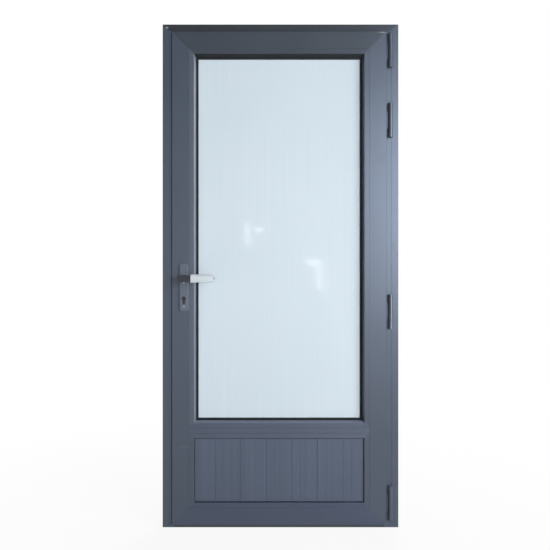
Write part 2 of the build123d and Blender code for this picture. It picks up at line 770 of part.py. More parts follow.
with BuildPart() as glass_gasket_outside:
    ring(glass_edges, body_edge + rear_gasket_start, sight + rear_gasket_lip, glass_back, rear_flange_front)

# Lower panel
board_left = leaf_left + body_edge + board_edge_gap
board_right = leaf_right - body_edge - board_edge_gap
board_pitch = (board_right - board_left) / board_count
board_low = leaf_bottom + body_edge + board_edge_gap
board_high = mid_rail_base - board_edge_gap

with BuildPart() as setting_blocks:
    for near in (glass_left + block_inset, glass_right - block_inset - block_length):
        block(near, near + block_length, glass_front, glass_back, mid_rail_top, glass_low)
        block(near, near + block_length, board_front, board_back, leaf_bottom + body_edge, board_low)

with BuildPart() as panel_boards:
    joints = [board_left + index * board_pitch for index in range(1, board_count)]
    starts = [board_left] + joints
    ends = [joint - board_joint_play for joint in joints] + [board_right]
    tongue_half = board_tongue_thickness * half_share
    core = (board_front + board_back) * half_share
    for start, end in zip(starts, ends):
        outline = [(end - board_groove, board_front), (end, board_front + board_groove)]
        if end != board_right:
            outline += [(end, core - tongue_half), (end + board_tongue, core - tongue_half),
                        (end + board_tongue, core + tongue_half), (end, core + tongue_half)]
        outline += [(end, board_back - board_groove), (end - board_groove, board_back),
                    (start + board_groove, board_back), (start, board_back - board_groove)]
        if start != board_left:
            slot_half = tongue_half + board_tongue_play
            slot = start + board_tongue + board_tongue_play
            outline += [(start, core + slot_half), (slot, core + slot_half),
                        (slot, core - slot_half), (start, core - slot_half)]
        quirk = start + board_quirk_offset
        quirk_floor = board_front + board_quirk_depth
        outline += [(start, board_front + board_groove), (start + board_groove, board_front),
                    (quirk, board_front), (quirk, quirk_floor),
                    (quirk + board_quirk_width, quirk_floor), (quirk + board_quirk_width, board_front)]
        near = start + board_tongue + board_tongue_play + board_wall
        far = end - board_wall
        web = (near + far) * half_share
        web_half = board_wall * half_share
        floor = quirk_floor + board_wall
        back = board_back - board_wall
        hollows = [[(one, floor), (two, floor), (two, back), (one, back)]
                   for one, two in ((near, web - web_half), (web + web_half, far))]
        upright(outline, hollows, board_low, board_high)

with BuildPart() as panel_gaskets:
    ring(panel_edges, panel_bead_inner + panel_gasket_lip - glass_gasket_width,
         panel_bead_inner + panel_gasket_lip, panel_bead_back, board_front)
    with BuildSketch(Plane.XZ.offset(-rear_flange_front)) as rear_ring:
        rear_outer = body_edge + rear_gasket_start
        rear_inner = sight + rear_gasket_lip
        Polygon((leaf_left + rear_outer, leaf_bottom + rear_outer),
                (leaf_right - rear_outer, leaf_bottom + rear_outer),
                (leaf_right - rear_outer, mid_rail_base - rear_gasket_start),
                (leaf_left + rear_outer, mid_rail_base - rear_gasket_start))
        Polygon((leaf_left + rear_inner, leaf_bottom + rear_inner),
                (leaf_right - rear_inner, leaf_bottom + rear_inner),
                (leaf_right - rear_inner, mid_rail_base - glazing_flange - rear_gasket_lip),
                (leaf_left + rear_inner, mid_rail_base - glazing_flange - rear_gasket_lip),
                mode=Mode.SUBTRACT)
    extrude(to_extrude=rear_ring.sketch, amount=rear_gasket_depth)

with BuildPart() as panel_bead_left:
    side_bar("left", panel_edges, panel_bead_section, [panel_bead_hollow], body_edge, panel_bead_inner)

with BuildPart() as panel_bead_right:
    side_bar("right", panel_edges, panel_bead_section, [panel_bead_hollow], body_edge, panel_bead_inner)

with BuildPart() as panel_bead_top:
    side_bar("top", panel_edges, panel_bead_section, [panel_bead_hollow], body_edge, panel_bead_inner)

with BuildPart() as panel_bead_bottom:
    side_bar("bottom", panel_edges, panel_bead_section, [panel_bead_hollow], body_edge, panel_bead_inner)


def lock_openings(x_one, x_two):
    """Openings in the lock front for the latch, the deadbolt and the screws."""
    for base, height, depth in bolt_sizes:
        reach = depth * half_share + bolt_play
        block(x_one, x_two, -reach, reach, base - bolt_play, base + height + bolt_play, Mode.SUBTRACT)
    cylinder_screw(screw_fit, Mode.SUBTRACT)
    for place in faceplate_screw_places():
        screw(place, (-1, 0, 0), screw_shank_radius, screw_length, True, screw_fit, Mode.SUBTRACT)


def cylinder_screw(play=0.0, mode=Mode.ADD):
    """Long screw from the faceplate into the web of the cylinder."""
    screw((faceplate_front, 0, cylinder_screw_height), (-1, 0, 0), cylinder_screw_radius,
          handle_x + cylinder_screw_reach - faceplate_front, True, play, mode)


def keyway(y_one, y_two):
    """Upright slot for the key."""
    width_half = keyway_width * half_share
    height_half = keyway_height * half_share
    block(handle_x - width_half, handle_x + width_half, y_one, y_two,
          key_height - height_half, key_height + height_half, Mode.SUBTRACT)


def side_plane(side, distance):
    """Plane parallel to the leaf, facing outward on one side of it."""
    return Plane(origin=(0, side * distance, 0), x_dir=(1, 0, 0), z_dir=(0, side, 0))


def handle_plate(side):
    """Hollow back plate with screw bosses, a neck bore and a cylinder opening."""
    middle = -side * (plate_base + plate_height * half_share)
    with BuildSketch(side_plane(side, leaf_back)) as outside:
        with Locations((handle_x, middle)):
            RectangleRounded(plate_width, plate_height, plate_corner)
    extrude(to_extrude=outside.sketch, amount=plate_thickness)
    fillet(faces().sort_by(Axis((0, 0, 0), (0, side, 0)))[-1].edges(), plate_rounding)
    with BuildSketch(side_plane(side, leaf_back)) as inside:
        with Locations((handle_x, middle)):
            RectangleRounded(plate_width - plate_wall - plate_wall, plate_height - plate_wall - plate_wall,
                             plate_corner - plate_wall)
    extrude(to_extrude=inside.sketch, amount=plate_thickness - plate_wall, mode=Mode.SUBTRACT)
    for x, y, z in plate_screw_places(side):
        rod((x, side * leaf_back, z), (0, side, 0), plate_boss_radius, plate_thickness - plate_wall)
    cylinder_shape(side * leaf_back, side * (plate_face + overrun), cylinder_cutout_play, Mode.SUBTRACT)
    rod((handle_x, side * leaf_back, handle_height), (0, side, 0), neck_radius + neck_fit,
        plate_thickness + overrun, Mode.SUBTRACT)
    for place in plate_screw_places(side):
        screw(place, (0, side, 0), screw_shank_radius, plate_screw_length, True, screw_fit, Mode.SUBTRACT)


def lever(side):
    """Round neck with a tapering flat lever, heel behind the neck and square socket for the spindle."""
    with BuildSketch(side_plane(side, lever_middle - lever_depth * half_share)) as blade:
        with Locations((handle_x - lever_heel, -side * handle_height)):
            Circle(lever_root_radius)
        with Locations((handle_x + lever_length - lever_tip_radius, -side * handle_height)):
            Circle(lever_tip_radius)
        make_hull()
    extrude(to_extrude=blade.sketch, amount=lever_depth)
    fillet(faces().sort_by(Axis((0, 0, 0), (0, side, 0)))[-1].edges(), lever_rounding)
    neck_length = lever_middle - leaf_back - neck_start
    rod((handle_x, side * (leaf_back + neck_start), handle_height), (0, side, 0), neck_radius, neck_length)
    socket = spindle_width * half_share + spindle_fit
    block(handle_x - socket, handle_x + socket, 0, side * (plate_face + spindle_engage + spindle_fit),
          handle_height - socket, handle_height + socket, Mode.SUBTRACT)


def grip_sleeve(side):
    """Tapering sleeve, open at both ends, that is pushed over the lever."""
    near = handle_x + sleeve_start
    far = handle_x + sleeve_end
    root = sleeve_root_height * half_share
    tip = sleeve_end_height * half_share
    depth = sleeve_depth * half_share
    bore = sleeve_bore_height * half_share
    slab([(near, handle_height - root), (far, handle_height - tip),
          (far, handle_height + tip), (near, handle_height + root)],
         side * (lever_middle - depth), side * (lever_middle + depth))
    fillet(edges().sort_by(SortBy.LENGTH)[-4:], sleeve_rounding)
    fillet(faces().filter_by(Axis.X).edges(), sleeve_rim_rounding)
    block(near - overrun, far + overrun, side * (lever_middle - lever_depth * half_share),
          side * (lever_middle + lever_depth * half_share), handle_height - bore, handle_height + bore,
          Mode.SUBTRACT)


# Lock
with BuildPart() as lock_case:
    block(faceplate_back, case_right, -case_half, case_half, case_base, case_top)
    block(faceplate_back + case_wall, case_right - case_wall, case_wall - case_half, case_half - case_wall,
          case_base + case_wall, case_top - case_wall, Mode.SUBTRACT)
    rod((handle_x, case_half + overrun, handle_height), (0, -1, 0), follower_radius + follower_fit,
        case_depth + overrun + overrun, Mode.SUBTRACT)
    cylinder_shape(-case_half - overrun, case_half + overrun, cylinder_cutout_play, Mode.SUBTRACT)
    lock_openings(faceplate_back - overrun, faceplate_back + case_wall)

with BuildPart() as lock_faceplate:
    face_half = faceplate_width * half_share
    block(faceplate_front, faceplate_back, -face_half, face_half, faceplate_base, faceplate_top)
    lock_openings(faceplate_front - overrun, faceplate_back + overrun)

with BuildPart() as lock_screws:
    for place in faceplate_screw_places():
        screw(place, (-1, 0, 0), screw_shank_radius, screw_length, True)
        cross_recess(place, (-1, 0, 0))
    cylinder_screw()
    cross_recess((faceplate_front, 0, cylinder_screw_height), (-1, 0, 0))

with BuildPart() as lock_follower:
    rod((handle_x, case_half, handle_height), (0, -1, 0), follower_radius, case_depth)
    with BuildSketch(Plane.XZ.offset(-follower_arm_depth * half_share)) as arm:
        with Locations((handle_x, handle_height)):
            Rectangle(follower_arm_width, follower_arm, rotation=follower_rest_angle,
                      align=(Align.CENTER, Align.MIN))
    extrude(to_extrude=arm.sketch, amount=follower_arm_depth)
    square = spindle_width * half_share + spindle_fit
    block(handle_x - square, handle_x + square, -case_depth, case_depth,
          handle_height - square, handle_height + square, Mode.SUBTRACT)

with BuildPart() as latch_bolt:
    latch_half = latch_depth * half_share
    latch_rear = faceplate_front + latch_body_length
    tail_half = latch_tail_depth * half_share
    upright([(latch_tip, -latch_half), (latch_tip, latch_nose - latch_half), (faceplate_front, latch_half),
             (latch_rear, latch_half), (latch_rear, -latch_half)], [],
            latch_base, latch_base + latch_height)
    block(latch_rear, latch_hook_x + latch_hook, -tail_half, tail_half,
          latch_tail_base, latch_base + latch_height)
    block(latch_hook_x, latch_hook_x + latch_hook, -tail_half, tail_half, latch_hook_base, latch_tail_base)

with BuildPart() as deadbolt:
    bolt_half = bolt_depth * half_share
    bolt_rear = faceplate_front + bolt_length
    block(faceplate_front, bolt_rear, -bolt_half, bolt_half, bolt_base, bolt_base + bolt_height)
    block(bolt_rear - bolt_talon, bolt_rear, -bolt_half, bolt_half, bolt_talon_base, bolt_base)

with BuildPart() as cylinder_body:
    gap_reach = cylinder_gap * half_share
    cylinder_shape(-cylinder_end, cylinder_end, 0)
    rod((handle_x, cylinder_end + overrun, key_height), (0, -1, 0), plug_radius + plug_fit,
        cylinder_end + cylinder_end + overrun + overrun, Mode.SUBTRACT)
    block(handle_x - plate_width, handle_x + plate_width, -gap_reach, gap_reach,
          key_height - cam_radius - cam_sweep_play, key_height + cylinder_height, Mode.SUBTRACT)
    cylinder_screw(screw_fit, Mode.SUBTRACT)

with BuildPart() as cylinder_plug_inside:
    plug_end = cylinder_end + plug_proud
    rod((handle_x, -plug_end, key_height), (0, 1, 0), plug_radius, plug_end - cylinder_gap * half_share)
    keyway(-plug_end - overrun, keyway_depth - plug_end)

with BuildPart() as cylinder_plug_outside:
    plug_far = cylinder_end + plug_proud
    rod((handle_x, plug_far, key_height), (0, -1, 0), plug_radius, plug_far - cylinder_gap * half_share)
    keyway(plug_far - keyway_depth, plug_far + overrun)

with BuildPart() as cylinder_cam:
    cam_half = cylinder_gap * half_share - cam_play
    rod((handle_x, cam_half, key_height), (0, -1, 0), plug_radius, cam_half + cam_half)
    block(handle_x - cam_width * half_share, handle_x + cam_width * half_share, -cam_half, cam_half,
          key_height - cam_radius, key_height)

# Handle set
with BuildPart() as handle_plate_inside:
    handle_plate(-1)

with BuildPart() as handle_plate_outside:
    handle_plate(1)

with BuildPart() as handle_plate_screws:
    for side in (-1, 1):
        for place in plate_screw_places(side):
            screw(place, (0, side, 0), screw_shank_radius, plate_screw_length, True)
            cross_recess(place, (0, side, 0))

with BuildPart() as lever_inside:
    lever(-1)

with BuildPart() as lever_outside:
    lever(1)

with BuildPart() as grip_sleeve_inside:
    grip_sleeve(-1)

with BuildPart() as grip_sleeve_outside:
    grip_sleeve(1)

with BuildPart() as handle_spindle:
    spindle_half = spindle_width * half_share
    spindle_end = plate_face + spindle_engage
    block(handle_x - spindle_half, handle_x + spindle_half, -spindle_end, spindle_end,
          handle_height - spindle_half, handle_height + spindle_half)

pieces = {
    "frame_lock_jamb": frame_lock_jamb,
    "frame_hinge_jamb": frame_hinge_jamb,
    "frame_head": frame_head,
    "threshold": threshold,
    "frame_corner_cleats": frame_corner_cleats,
    "frame_stop_gasket": frame_stop_gasket,
    "strike_plate": strike_plate,
    "frame_screws": frame_screws,
    "hinge_frame_knuckles": hinge_frame_knuckles,
    "hinge_leaf_knuckles": hinge_leaf_knuckles,
    "hinge_pins": hinge_pins,
    "hinge_washers": hinge_washers,
    "hinge_frame_screws": hinge_frame_screws,
    "hinge_leaf_screws": hinge_leaf_screws,
    "leaf_lock_stile": leaf_lock_stile,
    "leaf_hinge_stile": leaf_hinge_stile,
    "leaf_top_rail": leaf_top_rail,
    "leaf_bottom_rail": leaf_bottom_rail,
    "leaf_mid_rail": leaf_mid_rail,
    "leaf_corner_cleats": leaf_corner_cleats,
    "mid_rail_connectors": mid_rail_connectors,
    "leaf_overlap_gasket": leaf_overlap_gasket,
    "bottom_brush_seal": bottom_brush_seal,
    "glass_bead_left": glass_bead_left,
    "glass_bead_right": glass_bead_right,
    "glass_bead_top": glass_bead_top,
    "glass_bead_bottom": glass_bead_bottom,
    "glass_pane_inside": glass_pane_inside,
    "glass_pane_outside": glass_pane_outside,
    "glass_spacer": glass_spacer,
    "glass_edge_seal": glass_edge_seal,
    "glass_gasket_inside": glass_gasket_inside,
    "glass_gasket_outside": glass_gasket_outside,
    "setting_blocks": setting_blocks,
    "panel_boards": panel_boards,
    "panel_gaskets": panel_gaskets,
    "panel_bead_left": panel_bead_left,
    "panel_bead_right": panel_bead_right,
    "panel_bead_top": panel_bead_top,
    "panel_bead_bottom": panel_bead_bottom,
    "lock_case": lock_case,
    "lock_faceplate": lock_faceplate,
    "lock_screws": lock_screws,
    "lock_follower": lock_follower,
    "latch_bolt": latch_bolt,
    "deadbolt": deadbolt,
    "cylinder_body": cylinder_body,
    "cylinder_plug_inside": cylinder_plug_inside,
    "cylinder_plug_outside": cylinder_plug_outside,
    "cylinder_cam": cylinder_cam,
    "handle_plate_inside": handle_plate_inside,
    "handle_plate_outside": handle_plate_outside,
    "handle_plate_screws": handle_plate_screws,
    "lever_inside": lever_inside,
    "lever_outside": lever_outside,
    "grip_sleeve_inside": grip_sleeve_inside,
    "grip_sleeve_outside": grip_sleeve_outside,
    "handle_spindle": handle_spindle,
}
for name, piece in pieces.items():
    piece.part.label = name
    export_step(piece.part, f"parts/{name}.step")
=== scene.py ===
"""Glazed aluminium door in its frame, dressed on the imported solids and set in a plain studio.

Sizes of the door's own pieces are in millimetres, and those of the studio in metres.
"""

from __future__ import annotations

import logging
import math
from dataclasses import dataclass
from enum import Enum
from typing import Any, Iterable, Sequence

import bmesh
import bpy
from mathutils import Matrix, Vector


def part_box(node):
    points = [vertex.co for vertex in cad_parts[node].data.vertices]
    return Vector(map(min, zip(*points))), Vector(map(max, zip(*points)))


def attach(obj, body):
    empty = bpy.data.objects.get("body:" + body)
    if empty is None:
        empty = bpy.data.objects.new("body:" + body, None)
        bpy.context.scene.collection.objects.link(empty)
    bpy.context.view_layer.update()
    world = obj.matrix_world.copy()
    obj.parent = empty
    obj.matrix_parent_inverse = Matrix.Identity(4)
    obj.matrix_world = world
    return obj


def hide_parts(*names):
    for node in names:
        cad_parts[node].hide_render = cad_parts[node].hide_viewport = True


logging.basicConfig(level=logging.INFO, format="%(message)s")
LOG = logging.getLogger("door")

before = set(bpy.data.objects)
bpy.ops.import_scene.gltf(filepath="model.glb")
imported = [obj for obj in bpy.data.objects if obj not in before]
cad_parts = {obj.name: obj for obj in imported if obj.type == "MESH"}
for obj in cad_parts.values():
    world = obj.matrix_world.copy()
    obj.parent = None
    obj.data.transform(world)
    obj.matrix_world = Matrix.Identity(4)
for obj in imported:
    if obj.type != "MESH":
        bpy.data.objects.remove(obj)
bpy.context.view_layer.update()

MM = 0.001
Point = tuple[float, float, float]
PANES = ("glass_pane_inside", "glass_pane_outside")

# Corners round a rectangle: whether each is on the left, and whether it is at the bottom.
CORNERS = ((True, True), (False, True), (False, False), (True, False))
# Faces of a block on four sides, whose four lower corners are counted first.
BLOCK_FACES = ((3, 2, 1, 0), (4, 5, 6, 7), (0, 1, 5, 4), (1, 2, 6, 5), (2, 3, 7, 6), (3, 0, 4, 7))

# Inputs of a Map Range node.
FROM_LOW, FROM_HIGH, TO_LOW, TO_HIGH = 1, 2, 3, 4
# Share, inputs and output of a Mix node for colours, and then for plain numbers.
SHARE, COLOUR_A, COLOUR_B, COLOUR_OUT = 0, 6, 7, 2
NUMBER_A, NUMBER_B, NUMBER_OUT = 2, 3, 0
# Range that nearly all of a noise texture lies in.
NOISE_LOW, NOISE_HIGH = 0.3, 0.7

# Rounding of arrises: gap in millimetres that is welded shut, angle in degrees under which two faces are one
# flat, angle over which an edge is an arris, and steps across the rounding.
WELD_GAP, FLAT_ANGLE, ARRIS_ANGLE, ARRIS_STEPS = 0.005, 0.5, 28.0, 2
# Largest angle in degrees between faces that are shaded as one curve.
CURVE_ANGLE = 40.0


class Body(str, Enum):
    """Rigid bodies of the door that a piece can ride on."""

    LEAF = "leaf"
    HANDLE = "handle"


class Run(Enum):
    """Way that the die lines of an extrusion run; the value is the axis that its sheen turns about."""

    UPRIGHT = "Z"
    LEVEL = "X"


def linear(hex_colour: str) -> tuple[float, float, float, float]:
    """Turn an sRGB hex colour into linear RGBA.

    Args:
        hex_colour: Colour as "#RRGGBB".

    Returns:
        Linear red, green, blue and an alpha of one.
    """
    parts = [int(hex_colour[i:i + 2], 16) / 255.0 for i in (1, 3, 5)]
    r, g, b = [p / 12.92 if p <= 0.04045 else ((p + 0.055) / 1.055) ** 2.4 for p in parts]
    return (r, g, b, 1.0)


def per_mm(size: float) -> float:
    """Texture scale in metre space for a pattern whose cells are the given number of millimetres wide."""
    return 1.0 / (size * MM)


def add_node(
    tree: bpy.types.NodeTree,
    kind: str,
    settings: dict[str, Any] | None = None,
    values: dict[str | int, Any] | None = None,
    links: dict[str | int, bpy.types.NodeSocket] | None = None,
) -> bpy.types.Node:
    """Add one shader node with its settings, constant inputs and incoming links.

    Args:
        tree: Node tree of the material.
        kind: Blender node type name.
        settings: Node attributes to set.
        values: Constant input values by socket name or index.
        links: Output sockets to link into inputs, by socket name or index.

    Returns:
        The new node.
    """
    node = tree.nodes.new(kind)
    for name, value in (settings or {}).items():
        setattr(node, name, value)
    for key, value in (values or {}).items():
        node.inputs[key].default_value = value
    for key, source in (links or {}).items():
        tree.links.new(source, node.inputs[key])
    return node


def new_material(name: str) -> tuple[bpy.types.Material, bpy.types.NodeTree, bpy.types.Node]:
    """Start an empty node material.

    Args:
        name: Name of the real material and its finish.

    Returns:
        The material, its tree and its Principled shader, wired to the output.
    """
    material = bpy.data.materials.new(name)
    material.use_nodes = True
    tree = material.node_tree
    tree.nodes.clear()
    shader = add_node(tree, "ShaderNodeBsdfPrincipled")
    add_node(tree, "ShaderNodeOutputMaterial", links={"Surface": shader.outputs["BSDF"]})
    return material, tree, shader


def seen_rays(tree: bpy.types.NodeTree) -> bpy.types.NodeSocket:
    """Find the rays that show the surround to the camera, to polished surfaces and through glass.

    Args:
        tree: Node tree of a material or of the world.

    Returns:
        Socket that is one for those rays and zero for the rest.
    """
    path = add_node(tree, "ShaderNodeLightPath")
    mirrored = add_node(tree, "ShaderNodeMath", {"operation": "MAXIMUM"},
                        links={0: path.outputs["Is Camera Ray"], 1: path.outputs["Is Glossy Ray"]})
    seen = add_node(tree, "ShaderNodeMath", {"operation": "MAXIMUM"},
                    links={0: mirrored.outputs["Value"], 1: path.outputs["Is Transmission Ray"]})
    return seen.outputs["Value"]


@dataclass(frozen=True)
class Spot:
    """Small mark or painted highlight on a surface, placed in the door's own frame in millimetres."""

    x: float
    y: float
    z: float
    width: float
    height: float
    strength: float
    colour: str = "#C9CCD0"


@dataclass(frozen=True)
class PowderCoat:
    """Polyester powder coat on extruded aluminium, sprayed and stoved.

    A satin skin with a very fine orange peel, so light breaks softly along each profile. Sizes are in
    millimetres.
    """

    name: str
    colour: str
    pale: str
    deep: str
    roughness: float = 0.42
    roughness_play: float = 0.02
    ior: float = 1.5
    # The peel is about 1 mm across and the powder's grit 0.05 mm: both are drawn coarser, so that they show.
    peel: float = 3.0
    grit: float = 1.2
    peel_height: float = 0.06
    peel_strength: float = 0.12
    cloud: float = 260.0
    cloud_range: tuple[float, float] = (0.2, 0.8)
    die_line: float = 0.0
    die_line_length: float = 4000.0
    die_line_range: tuple[float, float] = (0.35, 0.65)
    die_line_shades: tuple[float, float] = (0.93, 1.07)
    # How far the highlight is drawn out, and the way that the profile runs.
    spread: float = 0.0
    run: Run = Run.UPRIGHT
    spots: tuple[Spot, ...] = ()
    spot_depth: float = 60.0
    spot_fade: tuple[float, float] = (0.75, 1.35)
    # Colour painted on faces by the way they look, if there is one (painted shade on the top rail and bead,
    # painted light on the sill bead), and the slopes between which it begins and covers.
    painted_shading: str = ""
    painted_shading_roughness: float = 0.95
    painted_shading_slope: tuple[float, float] = (-0.5, -0.8)

    def build(self) -> bpy.types.Material:
        """Build the coat's material.

        Returns:
            The material.
        """
        material, tree, shader = new_material(self.name)
        place = add_node(tree, "ShaderNodeTexCoord").outputs["Object"]
        clouds = add_node(tree, "ShaderNodeTexNoise", values={"Scale": per_mm(self.cloud), "Detail": 3.0},
                          links={"Vector": place}).outputs["Fac"]
        speckle = add_node(tree, "ShaderNodeTexNoise", values={"Scale": per_mm(self.grit), "Detail": 1.0},
                           links={"Vector": place})
        tint = add_node(tree, "ShaderNodeValToRGB", links={"Fac": clouds})
        for stop, position, shade in zip(tint.color_ramp.elements, self.cloud_range, (self.deep, self.pale)):
            stop.position = position
            stop.color = linear(shade)
        mixed = add_node(tree, "ShaderNodeMix", {"data_type": "RGBA"}, {COLOUR_B: linear(self.colour)},
                         {SHARE: speckle.outputs["Fac"], COLOUR_A: tint.outputs["Color"]})
        colour = mixed.outputs[COLOUR_OUT]
        if self.die_line:
            colour = self._streaks(tree, place, colour)
        for spot in self.spots:
            colour = self._mark(tree, place, colour, spot)
        sheen = add_node(tree, "ShaderNodeMapRange",
                         values={FROM_LOW: NOISE_LOW, FROM_HIGH: NOISE_HIGH,
                                 TO_LOW: self.roughness - self.roughness_play,
                                 TO_HIGH: self.roughness + self.roughness_play},
                         links={0: clouds}).outputs["Result"]
        if self.painted_shading:
            colour, sheen = self._paint_slope_shading(tree, colour, sheen)
        tree.links.new(colour, shader.inputs["Base Color"])
        tree.links.new(sheen, shader.inputs["Roughness"])
        shader.inputs["IOR"].default_value = self.ior
        if self.spread:
            shader.inputs["Anisotropic"].default_value = self.spread
            across = add_node(tree, "ShaderNodeTangent", {"direction_type": "RADIAL", "axis": self.run.value})
            tree.links.new(across.outputs["Tangent"], shader.inputs["Tangent"])
        height = add_node(tree, "ShaderNodeTexNoise", values={"Scale": per_mm(self.peel), "Detail": 2.0},
                          links={"Vector": place})
        bump = add_node(tree, "ShaderNodeBump",
                        values={"Strength": self.peel_strength, "Distance": self.peel_height * MM},
                        links={"Height": height.outputs["Fac"]})
        tree.links.new(bump.outputs["Normal"], shader.inputs["Normal"])
        return material

    def _streaks(self, tree: bpy.types.NodeTree, place: bpy.types.NodeSocket,
                 colour: bpy.types.NodeSocket) -> bpy.types.NodeSocket:
        """Draw the faint upright die lines of the extrusion through the coat.

        Args:
            tree: Node tree of the coat.
            place: Object-space coordinates.
            colour: Colour so far.

        Returns:
            The colour with the lines in it.
        """
        scale = (per_mm(self.die_line), per_mm(self.die_line), per_mm(self.die_line_length))
        stretched = add_node(tree, "ShaderNodeMapping", values={"Scale": scale}, links={"Vector": place})
        lines = add_node(tree, "ShaderNodeTexNoise", values={"Scale": 1.0, "Detail": 2.0},
                         links={"Vector": stretched.outputs["Vector"]})
        low, high = self.die_line_range
        dark, light = self.die_line_shades
        band = add_node(tree, "ShaderNodeMapRange",
                        values={FROM_LOW: low, FROM_HIGH: high, TO_LOW: dark, TO_HIGH: light},
                        links={0: lines.outputs["Fac"]})
        streak = add_node(tree, "ShaderNodeVectorMath", {"operation": "SCALE"},
                          links={0: colour, "Scale": band.outputs["Result"]})
        return streak.outputs["Vector"]

    def _paint_slope_shading(self, tree: bpy.types.NodeTree, colour: bpy.types.NodeSocket,
              sheen: bpy.types.NodeSocket) -> tuple[bpy.types.NodeSocket, bpy.types.NodeSocket]:
        """Paint a dull colour over the faces that look down or up: painted shade where it is dark, painted
        light where it is pale.

        Args:
            tree: Node tree of the coat.
            colour: Colour so far.
            sheen: Roughness so far.

        Returns:
            The colour and the roughness with the painted shading on them.
        """
        facing = add_node(tree, "ShaderNodeSeparateXYZ",
                          links={0: add_node(tree, "ShaderNodeTexCoord").outputs["Normal"]})
        bare, covered = self.painted_shading_slope
        under = add_node(tree, "ShaderNodeMapRange",
                         values={FROM_LOW: bare, FROM_HIGH: covered, TO_LOW: 0.0, TO_HIGH: 1.0},
                         links={0: facing.outputs["Z"]}).outputs["Result"]
        painted_colour = add_node(tree, "ShaderNodeMix", {"data_type": "RGBA"}, {COLOUR_B: linear(self.painted_shading)},
                          {SHARE: under, COLOUR_A: colour})
        dulled = add_node(tree, "ShaderNodeMix", values={NUMBER_B: self.painted_shading_roughness},
                          links={SHARE: under, NUMBER_A: sheen})
        return painted_colour.outputs[COLOUR_OUT], dulled.outputs[NUMBER_OUT]

    def _mark(self, tree: bpy.types.NodeTree, place: bpy.types.NodeSocket, colour: bpy.types.NodeSocket,
              spot: Spot) -> bpy.types.NodeSocket:
        """Lay one small pale or dark mark, or a painted highlight, over the coat.

        Args:
            tree: Node tree of the coat.
            place: Object-space coordinates.
            colour: Colour so far.
            spot: Place, size and strength of the mark.

        Returns:
            The colour with the mark on it.
        """
        offset = add_node(tree, "ShaderNodeVectorMath", {"operation": "SUBTRACT"},
                          {1: (spot.x * MM, spot.y * MM, spot.z * MM)}, {0: place})
        scaled = add_node(tree, "ShaderNodeVectorMath", {"operation": "MULTIPLY"},
                          {1: (per_mm(spot.width), per_mm(self.spot_depth), per_mm(spot.height))},
                          {0: offset.outputs["Vector"]})
        reach = add_node(tree, "ShaderNodeVectorMath", {"operation": "LENGTH"},
                         links={0: scaled.outputs["Vector"]})
        ragged = add_node(tree, "ShaderNodeTexNoise", values={"Scale": per_mm(spot.width), "Detail": 4.0},
                          links={"Vector": place})
        uneven = add_node(tree, "ShaderNodeMath", {"operation": "ADD"},
                          links={0: reach.outputs["Value"], 1: ragged.outputs["Fac"]})
        full, faded = self.spot_fade
        mask = add_node(tree, "ShaderNodeMapRange",
                        values={FROM_LOW: full, FROM_HIGH: faded, TO_LOW: spot.strength, TO_HIGH: 0.0},
                        links={0: uneven.outputs["Value"]})
        mixed = add_node(tree, "ShaderNodeMix", {"data_type": "RGBA"}, {COLOUR_B: linear(spot.colour)},
                         {SHARE: mask.outputs["Result"], COLOUR_A: colour})
        return mixed.outputs[COLOUR_OUT]


@dataclass(frozen=True)
class MilkGlass:
    """Laminated float glass with a milky interlayer, drawn flat.

    Pale blue-white body under a hard, bright polish, with faint upright drawing streaks. Sizes are in
    millimetres.
    """

    name: str = "milk_laminated_float_glass"
    colour: str = "#CBD9E3"
    pale: str = "#D0DDE7"
    streak: tuple[float, float, float] = (9.0, 40.0, 900.0)
    cloud: float = 420.0
    tint_range: tuple[float, float] = (0.12, 0.42)
    polish: tuple[float, float] = (0.05, 0.065)
    ior: float = 1.52

    def build(self) -> bpy.types.Material:
        """Build the glass material.

        Returns:
            The material.
        """
        material, tree, shader = new_material(self.name)
        place = add_node(tree, "ShaderNodeTexCoord").outputs["Object"]
        stretched = add_node(tree, "ShaderNodeMapping",
                             values={"Scale": tuple(per_mm(size) for size in self.streak)},
                             links={"Vector": place})
        streaks = add_node(tree, "ShaderNodeTexNoise", values={"Scale": 1.0, "Detail": 3.0},
                           links={"Vector": stretched.outputs["Vector"]})
        clouds = add_node(tree, "ShaderNodeTexNoise", values={"Scale": per_mm(self.cloud), "Detail": 2.0},
                          links={"Vector": place})
        both = add_node(tree, "ShaderNodeMath", {"operation": "MULTIPLY"},
                        links={0: streaks.outputs["Fac"], 1: clouds.outputs["Fac"]})
        tint = add_node(tree, "ShaderNodeValToRGB", links={"Fac": both.outputs["Value"]})
        for stop, position, shade in zip(tint.color_ramp.elements, self.tint_range, (self.colour, self.pale)):
            stop.position = position
            stop.color = linear(shade)
        tree.links.new(tint.outputs["Color"], shader.inputs["Base Color"])
        smooth, dull = self.polish
        polish = add_node(tree, "ShaderNodeMapRange",
                          values={FROM_LOW: NOISE_LOW, FROM_HIGH: NOISE_HIGH, TO_LOW: smooth, TO_HIGH: dull},
                          links={0: clouds.outputs["Fac"]})
        tree.links.new(polish.outputs["Result"], shader.inputs["Roughness"])
        shader.inputs["IOR"].default_value = self.ior
        return material


